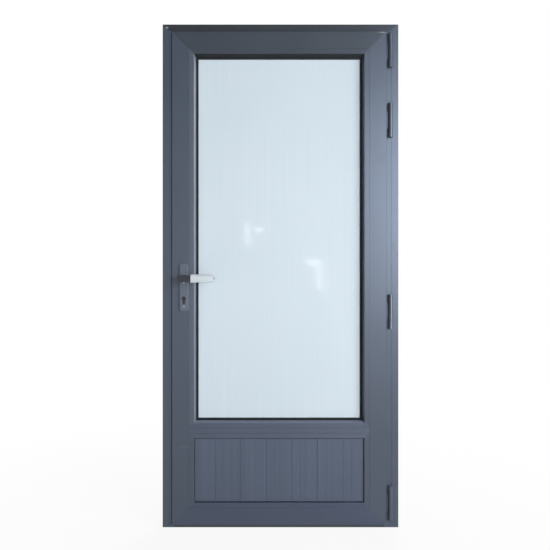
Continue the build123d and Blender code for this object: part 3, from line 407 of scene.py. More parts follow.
@dataclass(frozen=True)
class Moulded:
    """Moulded skin in one colour, for rubber, nylon and plastic.

    Even and soft in the light, with a fine grain and slow patches of shade. Sizes are in millimetres.
    """

    name: str
    colour: str
    shade: str
    roughness: float
    # A moulded grain is about 0.1 mm across: it is drawn coarser, so that it shows.
    grain: float
    grain_height: float = 0.1
    patch_share: float = 30.0
    roughness_play: float = 0.06
    ior: float = 1.5
    relief: float = 0.15
    shine: float = 0.5

    def build(self) -> bpy.types.Material:
        """Build the moulded material.

        Returns:
            The material.
        """
        material, tree, shader = new_material(self.name)
        place = add_node(tree, "ShaderNodeTexCoord").outputs["Object"]
        grain = add_node(tree, "ShaderNodeTexNoise", values={"Scale": per_mm(self.grain), "Detail": 3.0},
                         links={"Vector": place})
        patch = add_node(tree, "ShaderNodeTexNoise",
                         values={"Scale": per_mm(self.grain * self.patch_share), "Detail": 2.0},
                         links={"Vector": place}).outputs["Fac"]
        tint = add_node(tree, "ShaderNodeMix", {"data_type": "RGBA"},
                        {COLOUR_A: linear(self.colour), COLOUR_B: linear(self.shade)}, {SHARE: patch})
        tree.links.new(tint.outputs[COLOUR_OUT], shader.inputs["Base Color"])
        gloss = add_node(tree, "ShaderNodeMapRange",
                         values={FROM_LOW: NOISE_LOW, FROM_HIGH: NOISE_HIGH,
                                 TO_LOW: self.roughness - self.roughness_play,
                                 TO_HIGH: self.roughness + self.roughness_play},
                         links={0: patch})
        tree.links.new(gloss.outputs["Result"], shader.inputs["Roughness"])
        shader.inputs["IOR"].default_value = self.ior
        shader.inputs["Specular IOR Level"].default_value = self.shine
        bump = add_node(tree, "ShaderNodeBump",
                        values={"Strength": self.relief, "Distance": self.grain_height * MM},
                        links={"Height": grain.outputs["Fac"]})
        tree.links.new(bump.outputs["Normal"], shader.inputs["Normal"])
        return material


@dataclass(frozen=True)
class BareMetal:
    """Uncoated or plated metal.

    A hard metal glint, broken by the fine scratches of drawing or handling along one way. Sizes are in
    millimetres.
    """

    name: str
    colour: str
    shade: str
    roughness: float
    # Real scratches are about 0.05 mm wide: they are drawn coarser, so that they show.
    scratch: tuple[float, float, float]
    roughness_play: float = 0.07

    def build(self) -> bpy.types.Material:
        """Build the metal material.

        Returns:
            The material.
        """
        material, tree, shader = new_material(self.name)
        place = add_node(tree, "ShaderNodeTexCoord").outputs["Object"]
        drawn = add_node(tree, "ShaderNodeMapping",
                         values={"Scale": tuple(per_mm(size) for size in self.scratch)},
                         links={"Vector": place})
        lines = add_node(tree, "ShaderNodeTexNoise", values={"Scale": 1.0, "Detail": 3.0},
                         links={"Vector": drawn.outputs["Vector"]}).outputs["Fac"]
        tint = add_node(tree, "ShaderNodeMix", {"data_type": "RGBA"},
                        {COLOUR_A: linear(self.colour), COLOUR_B: linear(self.shade)}, {SHARE: lines})
        tree.links.new(tint.outputs[COLOUR_OUT], shader.inputs["Base Color"])
        shader.inputs["Metallic"].default_value = 1.0
        gloss = add_node(tree, "ShaderNodeMapRange",
                         values={FROM_LOW: NOISE_LOW, FROM_HIGH: NOISE_HIGH,
                                 TO_LOW: self.roughness - self.roughness_play,
                                 TO_HIGH: self.roughness + self.roughness_play},
                         links={0: lines})
        tree.links.new(gloss.outputs["Result"], shader.inputs["Roughness"])
        return material


class Finishes:
    """All finishes of the door, built once and shared."""

    def __init__(self) -> None:
        """Build every material."""
        # Small marks on the frame and the leaf, pale and dark patches on the coat; the thin pale strip along
        # the top edge of the leaf is a painted highlight.
        frame_marks = (Spot(-486.0, -21.5, 2136.0, 9.0, 6.0, 0.5),
                       Spot(485.0, -21.5, 1202.0, 20.0, 26.0, 0.5, "#323D40"))
        leaf_marks_and_painted_highlight = (Spot(434.0, -28.5, 2114.0, 22.0, 3.0, 0.45),
                      Spot(432.0, -28.5, 1583.0, 36.0, 56.0, 0.45, "#3A3A4A"),
                      Spot(-408.0, -28.5, 345.0, 40.0, 3.0, 0.06))
        # Satin slate on upright lengths: a lamp shows on it as a tall, soft band.
        self.upright_coat = PowderCoat("slate_powder_coat_on_upright_profiles", "#3F4857", "#424B5A",
                                       "#3C4554", roughness=0.375, run=Run.UPRIGHT, spread=0.32,
                                       spots=frame_marks + leaf_marks_and_painted_highlight).build()
        # Smoother on the bottom rail, where the band lies along the rail, and painted a little darker and
        # bluer than the upright coat: painted shade.
        self.level_coat_with_painted_shade = PowderCoat("slate_powder_coat_painted_shade_on_level_profiles", "#3B4559", "#3E485C", "#384256",
                                     roughness=0.3, run=Run.LEVEL, spread=0.2).build()
        # Painted darker and greyer, as painted shade, so that head and sill close the door off above and
        # below.
        self.head_coat_with_painted_shade = PowderCoat("slate_powder_coat_painted_shade_on_head_and_sill", "#30353C", "#33383F", "#2D3239",
                                    roughness=0.3, run=Run.LEVEL, spread=0.2, spots=frame_marks).build()
        # A little darker, as painted shade, with a dull near-black colour painted on the faces that look
        # down, so that the top of the reveal shows a dark line of painted shadow.
        self.top_coat_with_painted_shade = PowderCoat("slate_powder_coat_painted_shade_on_top_rail", "#3C434D", "#3F4650", "#39404A",
                                   roughness=0.3, run=Run.LEVEL, spread=0.2, spots=leaf_marks_and_painted_highlight,
                                   painted_shading="#0E1013").build()
        # Paler and duller: an even bar between the glass and the boards, whose paleness is painted light.
        self.mid_coat_with_painted_light = PowderCoat("slate_powder_coat_painted_light_on_mid_rail", "#444D5E", "#475061", "#414A5B",
                                   run=Run.LEVEL, spread=0.35).build()
        # The same paler coat on the bead below the glass, with a pale colour painted on its upward faces:
        # painted light from above.
        self.sill_coat_with_painted_light = PowderCoat("slate_powder_coat_painted_light_on_glass_sill_bead", "#444D5E", "#475061", "#414A5B",
                                    run=Run.LEVEL, spread=0.35, painted_shading="#6E7788",
                                    painted_shading_slope=(0.3, 0.6)).build()
        # Thin extruded boards: faint upright die lines keep the flat faces from looking dead.
        self.board_coat = PowderCoat("slate_powder_coat_on_boards", "#465062", "#495365", "#434D5F",
                                     die_line=14.0, run=Run.UPRIGHT, spread=0.35).build()
        # Cast lever: nearly black, with a small soft highlight along its top.
        self.handle_coat = PowderCoat("graphite_powder_coat_on_handle", "#1E222B", "#22262F", "#1A1E26",
                                      roughness=0.36, cloud=40.0).build()
        # Pressed back plate: paler than the stile, so that its outline shows.
        self.plate_coat = PowderCoat("slate_powder_coat_on_plate", "#565F70", "#596273", "#535C6D",
                                     roughness=0.38, cloud=60.0).build()
        # Milky and bright, with sharp reflections lying on its face.
        self.glass = MilkGlass().build()
        # Extruded rubber: black and matt, a dark line round glass and leaf.
        self.rubber = Moulded("black_epdm_rubber", "#17191C", "#121316", 0.7, 1.2, shine=0.2).build()
        # Injection moulded nylon: dark, with a slight waxy gloss.
        self.nylon = Moulded("black_moulded_nylon", "#2A2B2D", "#202123", 0.5, 0.8).build()
        # Injection moulded grip: pale and satin, the brightest piece of the handle.
        self.grip = Moulded("pale_moulded_grip_plastic", "#CCD4DA", "#C4CCD3", 0.42, 1.5, relief=0.08).build()
        # Woven pile: dark, fibrous and without a highlight.
        self.pile = Moulded("woven_brush_pile", "#2B2C2F", "#1F2022", 0.9, 0.6, relief=0.5).build()
        # Aluminium as it left the die: pale, with long drawn lines.
        self.mill = BareMetal("mill_finish_aluminium", "#C9CBCD", "#B4B7BA", 0.38, (0.8, 0.8, 60.0)).build()
        # Electroplated zinc: a cool grey with a hard glint.
        self.steel = BareMetal("zinc_plated_steel", "#A2A5A8", "#8A8D91", 0.34, (0.6, 30.0, 0.6)).build()
        # Dark nickel plate on turned brass: a small warm gleam in the key's place.
        self.nickel = BareMetal("dark_nickel_plated_brass", "#4C494C", "#3D3A3D", 0.3,
                                (0.5, 20.0, 0.5)).build()


def cad(node: str) -> bpy.types.Object:
    """Object of a CAD node."""
    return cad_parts[node]


def paint(obj: bpy.types.Object, material: bpy.types.Material) -> None:
    """Give an object one material in all its slots."""
    obj.data.materials.clear()
    obj.data.materials.append(material)


def soften(obj: bpy.types.Object, width: float) -> None:
    """Round the sharp arrises of a solid, as a coated or moulded edge is rounded.

    Args:
        obj: Object to soften.
        width: Rounding in millimetres.
    """
    weld = obj.modifiers.new("join_faces", "WELD")
    weld.merge_threshold = WELD_GAP * MM
    flat = obj.modifiers.new("flat_faces", "DECIMATE")
    flat.decimate_type = "DISSOLVE"
    flat.angle_limit = math.radians(FLAT_ANGLE)
    bevel = obj.modifiers.new("arris", "BEVEL")
    bevel.width = width * MM
    bevel.segments = ARRIS_STEPS
    bevel.limit_method = "ANGLE"
    bevel.angle_limit = math.radians(ARRIS_ANGLE)
    bevel.use_clamp_overlap = True
    bevel.harden_normals = False
    normals = obj.modifiers.new("even_shading", "WEIGHTED_NORMAL")
    normals.keep_sharp = False


def new_piece(name: str, points: Sequence[Point], faces: Sequence[Sequence[int]],
              material: bpy.types.Material, body: Body) -> bpy.types.Object:
    """Make a closed mesh piece that moves with one body.

    Args:
        name: Piece name.
        points: Corner points in millimetres in the door's own frame.
        faces: Corner numbers of each face.
        material: Finish of the piece.
        body: Body that it rides on.

    Returns:
        The new object.
    """
    mesh = bpy.data.meshes.new(name)
    mesh.from_pydata([tuple(value * MM for value in point) for point in points], [], faces)
    shape = bmesh.new()
    shape.from_mesh(mesh)
    bmesh.ops.recalc_face_normals(shape, faces=shape.faces)
    shape.to_mesh(mesh)
    shape.free()
    mesh.shade_smooth()
    mesh.set_sharp_from_angle(angle=math.radians(CURVE_ANGLE))
    piece = bpy.data.objects.new(name, mesh)
    bpy.context.scene.collection.objects.link(piece)
    paint(piece, material)
    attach(piece, body.value)
    LOG.info("built %s", name)
    return piece


def box_mm(node: str) -> tuple[Vector, Vector]:
    """Lowest and highest corner of a CAD node in millimetres."""
    low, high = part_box(node)
    return low / MM, high / MM


def quarter_turn(steps: int) -> list[float]:
    """Angles from nought to a right angle in even steps."""
    return [math.radians(90.0 * step / steps) for step in range(steps + 1)]


def loft(sections: Sequence[Sequence[Point]]) -> tuple[list[Point], list[tuple[int, ...]]]:
    """Skin a ring of sections, the last of which joins the first again.

    Args:
        sections: Closed sections in order, all with the same number of points.

    Returns:
        Points and faces of the skin.
    """
    count = len(sections[0])
    points = [point for section in sections for point in section]
    faces = []
    for row in range(len(sections)):
        start = row * count
        after = (row + 1) % len(sections) * count
        for step in range(count):
            beside = (step + 1) % count
            faces.append((start + step, start + beside, after + beside, after + step))
    return points, faces


def dress(nodes: Iterable[str], material: bpy.types.Material, arris: float = 0.0) -> None:
    """Paint CAD nodes and round their arrises.

    Args:
        nodes: CAD node names.
        material: Finish to give them.
        arris: Edge rounding in millimetres, or zero to leave the edges as they are.
    """
    for node in nodes:
        paint(cad(node), material)
        if arris:
            soften(cad(node), arris)
        LOG.info("dressed %s", node)


@dataclass
class DoorFrame:
    """Jambs, head, threshold and what is fixed to them."""

    arris: float = 0.5
    gasket_arris: float = 0.8
    uprights: tuple[str, ...] = ("frame_lock_jamb", "frame_hinge_jamb")

    def dress(self, finishes: Finishes) -> None:
        """Give the frame's pieces their finishes.

        Args:
            finishes: All finishes of the door.
        """
        dress(self.uprights, finishes.upright_coat, self.arris)
        dress(("frame_head", "threshold"), finishes.head_coat_with_painted_shade, self.arris)
        dress(("frame_corner_cleats",), finishes.mill)
        dress(("frame_stop_gasket",), finishes.rubber, self.gasket_arris)
        dress(("strike_plate", "frame_screws"), finishes.steel)


@dataclass
class DoorLeaf:
    """Stiles, rails and seals of the swinging leaf."""

    arris: float = 0.5
    edge: float = 1.2
    gasket: str = "leaf_overlap_gasket"
    gasket_width: float = 5.0
    flank_share: float = 0.6
    crown_share: float = 0.8
    lip_thickness: float = 0.8
    root_share: float = 1.6
    # The lip's reach past the lock stile draws a black line of painted shadow; on the other sides it stays
    # hidden.
    lock_shadow_lip: float = 5.0
    hidden_lip: float = 0.3
    uprights: tuple[str, ...] = ("leaf_lock_stile", "leaf_hinge_stile")

    def dress(self, finishes: Finishes) -> None:
        """Give the leaf's pieces their finishes.

        Args:
            finishes: All finishes of the door.
        """
        dress(self.uprights, finishes.upright_coat, self.edge)
        dress(("leaf_top_rail",), finishes.top_coat_with_painted_shade, self.edge)
        dress(("leaf_bottom_rail",), finishes.level_coat_with_painted_shade, self.arris)
        dress(("leaf_mid_rail",), finishes.mid_coat_with_painted_light, self.arris)
        dress(("leaf_corner_cleats", "mid_rail_connectors"), finishes.mill)
        self._overlap_gasket(finishes.rubber)

    def _overlap_gasket(self, material: bpy.types.Material) -> None:
        """Build the closing gasket behind the leaf's overlap, whose black lip reaches past the lock stile to
        stand for the shadow there: painted shadow.

        Args:
            material: Rubber finish.
        """
        low, high = box_mm(self.gasket)
        width, depth = self.gasket_width, high.y - low.y
        # Points of the section: inset from the edge, rise from the seat and share of the lip's reach.
        profile = [(0.0, 0.0, 0.0), (width, 0.0, 0.0), (width, depth * self.flank_share, 0.0),
                   (width * self.crown_share, depth, 0.0), (0.0, depth, 0.0), (0.0, depth, 1.0),
                   (0.0, depth - self.lip_thickness, 1.0),
                   (0.0, depth - self.lip_thickness * self.root_share, 0.0)]
        corners = []
        for left, down in CORNERS:
            across = self.lock_shadow_lip if left else self.hidden_lip
            corners.append([(low.x + inset - lip * across if left else high.x - inset + lip * across,
                             low.y + rise,
                             low.z + inset - lip * self.hidden_lip if down
                             else high.z - inset + lip * self.hidden_lip) for inset, rise, lip in profile])
        ring = new_piece("leaf_overlap_gasket_with_shadow_lip", *loft(corners), material, Body.LEAF)
        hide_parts(self.gasket)


@dataclass
class BrushSeal:
    """Brush strip under the bottom rail: a backing rib with tufts of pile in staggered rows."""

    node: str = "bottom_brush_seal"
    pitch: float = 2.4
    rows: int = 3
    tuft: float = 1.5
    tip_share: float = 0.55
    rib_share: float = 0.3
    lean: float = 0.7
    sway_step: float = 2.4

    def dress(self, finishes: Finishes) -> None:
        """Build the brush in the room of its CAD solid and give it its finish.

        Args:
            finishes: All finishes of the door.
        """
        low, high = box_mm(self.node)
        rib = high.z - (high.z - low.z) * self.rib_share
        plan = ((low.x, low.y), (high.x, low.y), (high.x, high.y), (low.x, high.y))
        blocks = [[(x, y, z) for z in (rib, high.z) for x, y in plan]]
        count = int((high.x - low.x - self.tuft - self.lean) / self.pitch)
        for row in range(self.rows):
            y = low.y + (high.y - low.y) * (row + 0.5) / self.rows
            for index in range(count):
                x = low.x + self.tuft + self.pitch * (index + 0.5 * (row % 2))
                blocks.append(self._tuft(x, y, low.z, rib, math.sin(index * self.sway_step + row)))
        points = [point for block in blocks for point in block]
        faces = [tuple(first + corner for corner in face)
                 for first in range(0, len(points), len(blocks[0])) for face in BLOCK_FACES]
        brush = new_piece("brush_seal_tufts", points, faces, finishes.pile, Body.LEAF)
        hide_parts(self.node)

    def _tuft(self, x: float, y: float, tip: float, root: float, sway: float) -> list[Point]:
        """Corners of one tapering tuft that leans a little along the strip.

        Args:
            x: Place along the strip.
            y: Place across the strip.
            tip: Height of the tuft's tip.
            root: Height of the tuft's root.
            sway: Share of the lean, from -1 to 1.

        Returns:
            Four corners at the root and four at the tip.
        """
        half = self.tuft * 0.5
        ends = ((root, half, 0.0), (tip, half * self.tip_share, self.lean * sway))
        return [(x + shift + reach * math.cos(turn), y + reach * math.sin(turn), height)
                for height, reach, shift in ends
                for turn in (0.0, math.pi * 0.5, math.pi, math.pi * 1.5)]


@dataclass
class Glazing:
    """Glass unit, its beads and gaskets."""

    arris: float = 2.0
    inside_width: float = 16.0
    outside_width: float = 18.0
    lip: float = 3.2
    lip_share: float = 0.8
    lip_steps: int = 6
    groove: float = 0.7
    groove_share: float = 0.5
    uprights: tuple[str, ...] = ("glass_bead_left", "glass_bead_right")

    def dress(self, finishes: Finishes) -> None:
        """Give the glazing its finishes.

        Args:
            finishes: All finishes of the door.
        """
        dress(self.uprights, finishes.upright_coat, self.arris)
        dress(("glass_bead_top",), finishes.top_coat_with_painted_shade, self.arris)
        dress(("glass_bead_bottom",), finishes.sill_coat_with_painted_light, self.arris)
        dress(PANES, finishes.glass)
        dress(("glass_edge_seal",), finishes.rubber)
        dress(("glass_spacer",), finishes.mill)
        dress(("setting_blocks",), finishes.nylon)
        for node, sight_width, outward in (("glass_gasket_inside", self.inside_width, -1.0),
                                           ("glass_gasket_outside", self.outside_width, 1.0)):
            self._gasket(node, sight_width, outward, finishes.rubber)

    def _gasket(self, node: str, width: float, outward: float, material: bpy.types.Material) -> None:
        """Build one glazing gasket with a rolled lip and a drawn groove, mitred round the glass.

        Args:
            node: CAD node that it stands for.
            width: Width of the section in millimetres.
            outward: Way its face looks along the depth, -1 or 1.
            material: Rubber finish.
        """
        low, high = box_mm(node)
        glass, face = (high.y, low.y) if outward < 0.0 else (low.y, high.y)
        depth = abs(face - glass)
        roll = min(self.lip, depth * self.lip_share)
        seam = width * self.groove_share
        # Points of the section: inset from the gasket's outer edge and rise from the glass.
        profile = [(0.0, 0.0), (0.0, depth), (seam, depth), (seam + self.groove, depth - self.groove),
                   (seam + self.groove * 2.0, depth)]
        profile += [(width - roll + roll * math.sin(turn), depth - roll + roll * math.cos(turn))
                    for turn in quarter_turn(self.lip_steps)]
        profile.append((width, 0.0))
        corners = []
        for left, down in CORNERS:
            corners.append([(low.x + inset if left else high.x - inset, glass + outward * rise,
                             low.z + inset if down else high.z - inset) for inset, rise in profile])
        ring = new_piece(node + "_lip", *loft(corners), material, Body.LEAF)
        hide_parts(node)


@dataclass
class LowerPanel:
    """Boards of the lower panel, their beads and gaskets."""

    arris: float = 0.5
    board_arris: float = 0.3
    uprights: tuple[str, ...] = ("panel_bead_left", "panel_bead_right")

    def dress(self, finishes: Finishes) -> None:
        """Give the panel its finishes.

        Args:
            finishes: All finishes of the door.
        """
        dress(self.uprights, finishes.upright_coat, self.arris)
        dress(("panel_bead_top",), finishes.mid_coat_with_painted_light, self.arris)
        dress(("panel_bead_bottom",), finishes.level_coat_with_painted_shade, self.arris)
        dress(("panel_boards",), finishes.board_coat, self.board_arris)
        dress(("panel_gaskets",), finishes.rubber)


@dataclass
class HingeSet:
    """Barrel hinges between frame and leaf."""

    arris: float = 0.8

    def dress(self, finishes: Finishes) -> None:
        """Give the hinges their finishes.

        Args:
            finishes: All finishes of the door.
        """
        dress(("hinge_frame_knuckles", "hinge_leaf_knuckles"), finishes.upright_coat, self.arris)
        dress(("hinge_washers",), finishes.nylon)
        dress(("hinge_pins", "hinge_frame_screws", "hinge_leaf_screws"), finishes.steel)


@dataclass
class LockSet:
    """Mortise lock, its bolts and the key cylinder."""

    plug_rim: float = 0.6

    def dress(self, finishes: Finishes) -> None:
        """Give the lock its finishes.

        Args:
            finishes: All finishes of the door.
        """
        dress(("lock_case", "lock_faceplate", "lock_screws", "lock_follower", "latch_bolt", "deadbolt"),
              finishes.steel)
        dress(("cylinder_body", "cylinder_cam"), finishes.nickel)
        dress(("cylinder_plug_inside", "cylinder_plug_outside"), finishes.nickel, self.plug_rim)


@dataclass
class HandleSet:
    """Levers, grip sleeves and back plates on both faces."""

    tip_height_share: float = 0.786
    rim: float = 2.0
    rim_steps: int = 5
    length_steps: int = 8
    round_steps: int = 56
    fullness: float = 3.6
    bore_fullness: float = 7.2
    bore_height: float = 25.0
    bore_depth: float = 13.2
    bore_share: float = 0.3

    def dress(self, finishes: Finishes) -> None:
        """Give the handle set its finishes.

        Args:
            finishes: All finishes of the door.
        """
        dress(("handle_plate_inside", "handle_plate_outside"), finishes.plate_coat)
        dress(("lever_inside", "lever_outside"), finishes.handle_coat)
        dress(("handle_plate_screws", "handle_spindle"), finishes.steel)
        for node in ("grip_sleeve_inside", "grip_sleeve_outside"):
            self._sleeve(node, finishes.grip)

    def _oval(self, x: float, centre: Vector, height: float, depth: float, fullness: float) -> list[Point]:
        """One rounded section of the sleeve.

        Args:
            x: Place along the lever.
            centre: Middle of the sleeve.
            height: Full height of the section.
            depth: Full depth of the section.
            fullness: Power of the rounded outline; two is an ellipse, more is squarer.

        Returns:
            Points round the section.
        """
        points = []
        for step in range(self.round_steps):
            turn = math.tau * step / self.round_steps
            up, out = math.sin(turn), math.cos(turn)
            points.append((x, centre.y + depth * 0.5 * math.copysign(abs(out) ** (2.0 / fullness), out),
                           centre.z + height * 0.5 * math.copysign(abs(up) ** (2.0 / fullness), up)))
        return points

    def _sleeve(self, node: str, material: bpy.types.Material) -> None:
        """Build one tapering moulded sleeve with rolled rims and an open bore.

        Args:
            node: CAD node that it stands for.
            material: Grip finish.
        """
        low, high = box_mm(node)
        centre = (low + high) * 0.5
        length = high.x - low.x
        ends = [(self.rim * (1.0 - math.sin(turn)), self.rim * (1.0 - math.cos(turn)))
                for turn in quarter_turn(self.rim_steps)]
        stations = [(low.x + along, inset) for inset, along in ends]
        stations += [(low.x + length * step / self.length_steps, 0.0) for step in range(1, self.length_steps)]
        stations += [(high.x - along, inset) for inset, along in reversed(ends)]
        sections = []
        for x, inset in stations:
            taper = 1.0 - (1.0 - self.tip_height_share) * (x - low.x) / length
            sections.append(self._oval(x, centre, (high.z - low.z) * taper - inset * 2.0,
                                       high.y - low.y - inset * 2.0, self.fullness))
        for x in (high.x - self.rim * self.bore_share, low.x + self.rim * self.bore_share):
            sections.append(self._oval(x, centre, self.bore_height, self.bore_depth, self.bore_fullness))
        sleeve = new_piece(node + "_moulding", *loft(sections), material, Body.HANDLE)
        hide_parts(node)


@dataclass
class Lamp:
    """One soft box of the studio, in metres and watts.

    A lamp that is not mirrored gives no highlight, and one that is not diffuse gives a highlight alone. The
    names in lit are the only nodes that it lights, and those in unlit the only ones that it does not.
    """

    name: str
    place: Point
    aim: Point
    width: float
    height: float
    power: float
    colour: str = "#FFFFFF"
    mirrored: bool = True
    diffuse: bool = True
    lit: tuple[str, ...] = ()
    unlit: tuple[str, ...] = ()

    def build(self) -> None:
        """Add the soft box to the scene."""
        data = bpy.data.lights.new(self.name, "AREA")
        data.shape = "RECTANGLE"
        data.size = self.width
        data.size_y = self.height
        data.energy = self.power
        data.color = linear(self.colour)[:3]
        lamp = bpy.data.objects.new(self.name, data)
        lamp.location = self.place
        lamp.visible_glossy = self.mirrored
        lamp.visible_diffuse = self.diffuse
        if self.lit or self.unlit:
            lamp.light_linking.receiver_collection = self._flag()
        lamp.rotation_euler = (Vector(self.aim) - Vector(self.place)).to_track_quat("-Z", "Y").to_euler()
        bpy.context.scene.collection.objects.link(lamp)

    def _flag(self) -> bpy.types.Collection:
        """Hold the lamp to the nodes it may light, or keep it off the others, as a flag on a stand does.

        Returns:
            Collection for the lamp's light linking.
        """
        group = bpy.data.collections.new(self.name + "_flag")
        for node in self.lit or self.unlit:
            group.objects.link(cad(node))
        for entry in group.collection_objects:
            entry.light_linking.link_state = "INCLUDE" if self.lit else "EXCLUDE"
        return group


@dataclass
class Studio:
    """Pale floor, white surround, soft boxes and the camera, whose lens and sensor are in millimetres."""

    distance: float = 2.6
    lens: float = 39.8
    sensor: float = 36.0
    eye: tuple[float, float] = (-0.0235, 1.0785)
    face: float = -0.0215
    floor_span: float = 14.0
    floor_drop: float = 0.0005
    floor_colours: tuple[str, str] = ("#F4F4F2", "#EFEFED")
    floor_mottle_mm: float = 300.0
    floor_roughness: float = 0.9
    floor_shine: float = 0.1
    runout: tuple[float, float] = (0.5, 2.2)
    runout_white: tuple[float, float] = (0.9, 1.0)
    # Ranges of direction over which the surround goes dim upward and leftward, and white to the rear.
    overhead: tuple[float, float] = (0.1, 0.3)
    leftward: tuple[float, float] = (-0.55, -0.2)
    rearward: tuple[float, float] = (-0.3, 0.0)
    dim: float = 0.05
    soft_light: float = 0.16
    lamps: tuple[Lamp, ...] = (
        Lamp("key_right", (4.6, -4.6, 2.6), (0.0, 0.0, 1.0), 5.0, 4.0, 370.0, mirrored=False),
        Lamp("front_soft", (0.0, -4.6, 1.2), (0.0, 0.0, 1.0), 1.4, 1.2, 40.0, mirrored=False),
        Lamp("sheen_right", (2.02, -3.7, 1.94), (0.45, 0.0, 1.5), 0.5, 2.0, 228.0, "#D2E4FF",
             diffuse=False, unlit=PANES),
        Lamp("edge_right", (4.6, -4.3, 1.3), (0.0, 0.0, 1.1), 0.8, 2.2, 450.0, "#D6E6FF",
             diffuse=False, unlit=PANES),
        Lamp("reveal_right", (5.0, -0.55, 3.0), (-0.2, 0.0, 1.1), 1.2, 1.2, 1050.0, "#FFF0DA",
             lit=("glass_bead_left",)),
        Lamp("level_glint_right", (0.459, -5.0, 1.235), (0.142, 0.0, 1.132), 0.213, 0.056, 0.21,
             diffuse=False),
        Lamp("upright_glint_right", (0.534, -5.0, 1.047), (0.167, 0.0, 1.068), 0.063, 0.263, 0.21,
             diffuse=False),
        Lamp("upright_glint_left", (-0.368, -5.0, 1.592), (-0.141, 0.0, 1.254), 0.063, 0.25, 0.18,
             diffuse=False),
        Lamp("level_glint_left", (-0.23, -5.0, 1.642), (-0.094, 0.0, 1.271), 0.1, 0.025, 0.1,
             diffuse=False),
        Lamp("back_soft", (1.5, 4.5, 3.0), (0.0, 0.0, 1.0), 3.0, 3.0, 215.0, mirrored=False),
    )

    def build(self) -> None:
        """Build the floor, world, lights and camera."""
        self._floor()
        self._world()
        for lamp in self.lamps:
            lamp.build()
        self._camera()

    def _floor(self) -> None:
        """Lay the pale floor under the door."""
        mesh = bpy.data.meshes.new("studio_floor")
        span = self.floor_span
        mesh.from_pydata([(-span, -span, 0.0), (span, -span, 0.0), (span, span, 0.0), (-span, span, 0.0)], [],
                         [(0, 1, 2, 3)])
        floor = bpy.data.objects.new("studio_floor", mesh)
        floor.location.z = -self.floor_drop
        bpy.context.scene.collection.objects.link(floor)
        # Matt rolled paint: pale and even, with the door's shadow lying softly on it.
        material, tree, shader = new_material("pale_matt_studio_floor")
        place = add_node(tree, "ShaderNodeTexCoord").outputs["Object"]
        mottle = add_node(tree, "ShaderNodeTexNoise",
                          values={"Scale": per_mm(self.floor_mottle_mm), "Detail": 2.0},
                          links={"Vector": place})
        pale, shade = self.floor_colours
        tint = add_node(tree, "ShaderNodeMix", {"data_type": "RGBA"},
                        {COLOUR_A: linear(pale), COLOUR_B: linear(shade)}, {SHARE: mottle.outputs["Fac"]})
        tree.links.new(tint.outputs[COLOUR_OUT], shader.inputs["Base Color"])
        shader.inputs["Roughness"].default_value = self.floor_roughness
        shader.inputs["Specular IOR Level"].default_value = self.floor_shine
        # The floor runs out to plain white away from the door, for the rays that see it.
        away = add_node(tree, "ShaderNodeVectorMath", {"operation": "LENGTH"}, links={0: place})
        near, far = self.runout
        first, last = self.runout_white
        runout = add_node(tree, "ShaderNodeMapRange",
                          values={FROM_LOW: near, FROM_HIGH: far, TO_LOW: first, TO_HIGH: last},
                          links={0: away.outputs["Value"]})
        share = add_node(tree, "ShaderNodeMath", {"operation": "MULTIPLY"},
                         links={0: runout.outputs["Result"], 1: seen_rays(tree)})
        white = add_node(tree, "ShaderNodeEmission", values={"Color": (1.0, 1.0, 1.0, 1.0)})
        both = add_node(tree, "ShaderNodeMixShader",
                        links={0: share.outputs["Value"], 1: shader.outputs["BSDF"],
                               2: white.outputs["Emission"]})
        tree.links.new(both.outputs["Shader"], tree.nodes["Material Output"].inputs["Surface"])
        paint(floor, material)

    def _world(self) -> None:
        """Hang the surround: white to the camera, partly dim in reflections and soft for the rest."""
        world = bpy.data.worlds.new("white_surround")
        world.use_nodes = True
        bpy.context.scene.world = world
        tree = world.node_tree
        tree.nodes.clear()
        toward = add_node(tree, "ShaderNodeSeparateXYZ",
                          links={0: add_node(tree, "ShaderNodeTexCoord").outputs["Generated"]})
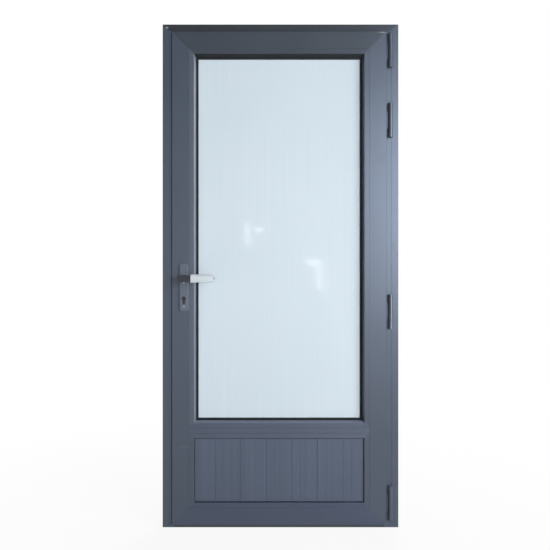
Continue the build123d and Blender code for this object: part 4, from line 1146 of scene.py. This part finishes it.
        # Reflections find it dim overhead and on the left in front of the door, and white behind the door.
        start, end = self.overhead
        low = add_node(tree, "ShaderNodeMapRange",
                       values={FROM_LOW: start, FROM_HIGH: end, TO_LOW: 1.0, TO_HIGH: self.dim},
                       links={0: toward.outputs["Z"]})
        start, end = self.leftward
        right = add_node(tree, "ShaderNodeMapRange",
                         values={FROM_LOW: start, FROM_HIGH: end, TO_LOW: self.dim, TO_HIGH: 1.0},
                         links={0: toward.outputs["X"]})
        start, end = self.rearward
        rear = add_node(tree, "ShaderNodeMapRange",
                        values={FROM_LOW: start, FROM_HIGH: end, TO_LOW: 0.0, TO_HIGH: 1.0},
                        links={0: toward.outputs["Y"]})
        lit = add_node(tree, "ShaderNodeMath", {"operation": "MINIMUM"},
                       links={0: low.outputs["Result"], 1: right.outputs["Result"]})
        clear = add_node(tree, "ShaderNodeMath", {"operation": "MAXIMUM"},
                         links={0: lit.outputs["Value"], 1: rear.outputs["Result"]})
        sight = add_node(tree, "ShaderNodeLightPath").outputs["Is Camera Ray"]
        open_sky = add_node(tree, "ShaderNodeMath", {"operation": "MAXIMUM"},
                            links={0: clear.outputs["Value"], 1: sight})
        shown = add_node(tree, "ShaderNodeMath", {"operation": "MULTIPLY"},
                         links={0: seen_rays(tree), 1: open_sky.outputs["Value"]})
        strength = add_node(tree, "ShaderNodeMapRange",
                            values={FROM_LOW: 0.0, FROM_HIGH: 1.0, TO_LOW: self.soft_light, TO_HIGH: 1.0},
                            links={0: shown.outputs["Value"]})
        back = add_node(tree, "ShaderNodeBackground", values={"Color": (1.0, 1.0, 1.0, 1.0)},
                        links={"Strength": strength.outputs["Result"]})
        add_node(tree, "ShaderNodeOutputWorld", links={"Surface": back.outputs["Background"]})

    def _camera(self) -> None:
        """Set the camera square to the door, as the photograph was taken."""
        data = bpy.data.cameras.new("front_camera")
        data.lens = self.lens
        data.sensor_width = self.sensor
        camera = bpy.data.objects.new("front_camera", data)
        across, up = self.eye
        camera.location = (across, self.face - self.distance, up)
        camera.rotation_euler = (math.radians(90.0), 0.0, 0.0)
        bpy.context.scene.collection.objects.link(camera)
        bpy.context.scene.camera = camera


def main() -> None:
    """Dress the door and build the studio."""
    finishes = Finishes()
    for part in (DoorFrame(), DoorLeaf(), BrushSeal(), Glazing(), LowerPanel(), HingeSet(), LockSet(),
                 HandleSet()):
        part.dress(finishes)
        LOG.info("finished %s", type(part).__name__)
    Studio().build()
    bpy.context.scene.view_settings.view_transform = "Standard"


if __name__ == "__main__":
    main()
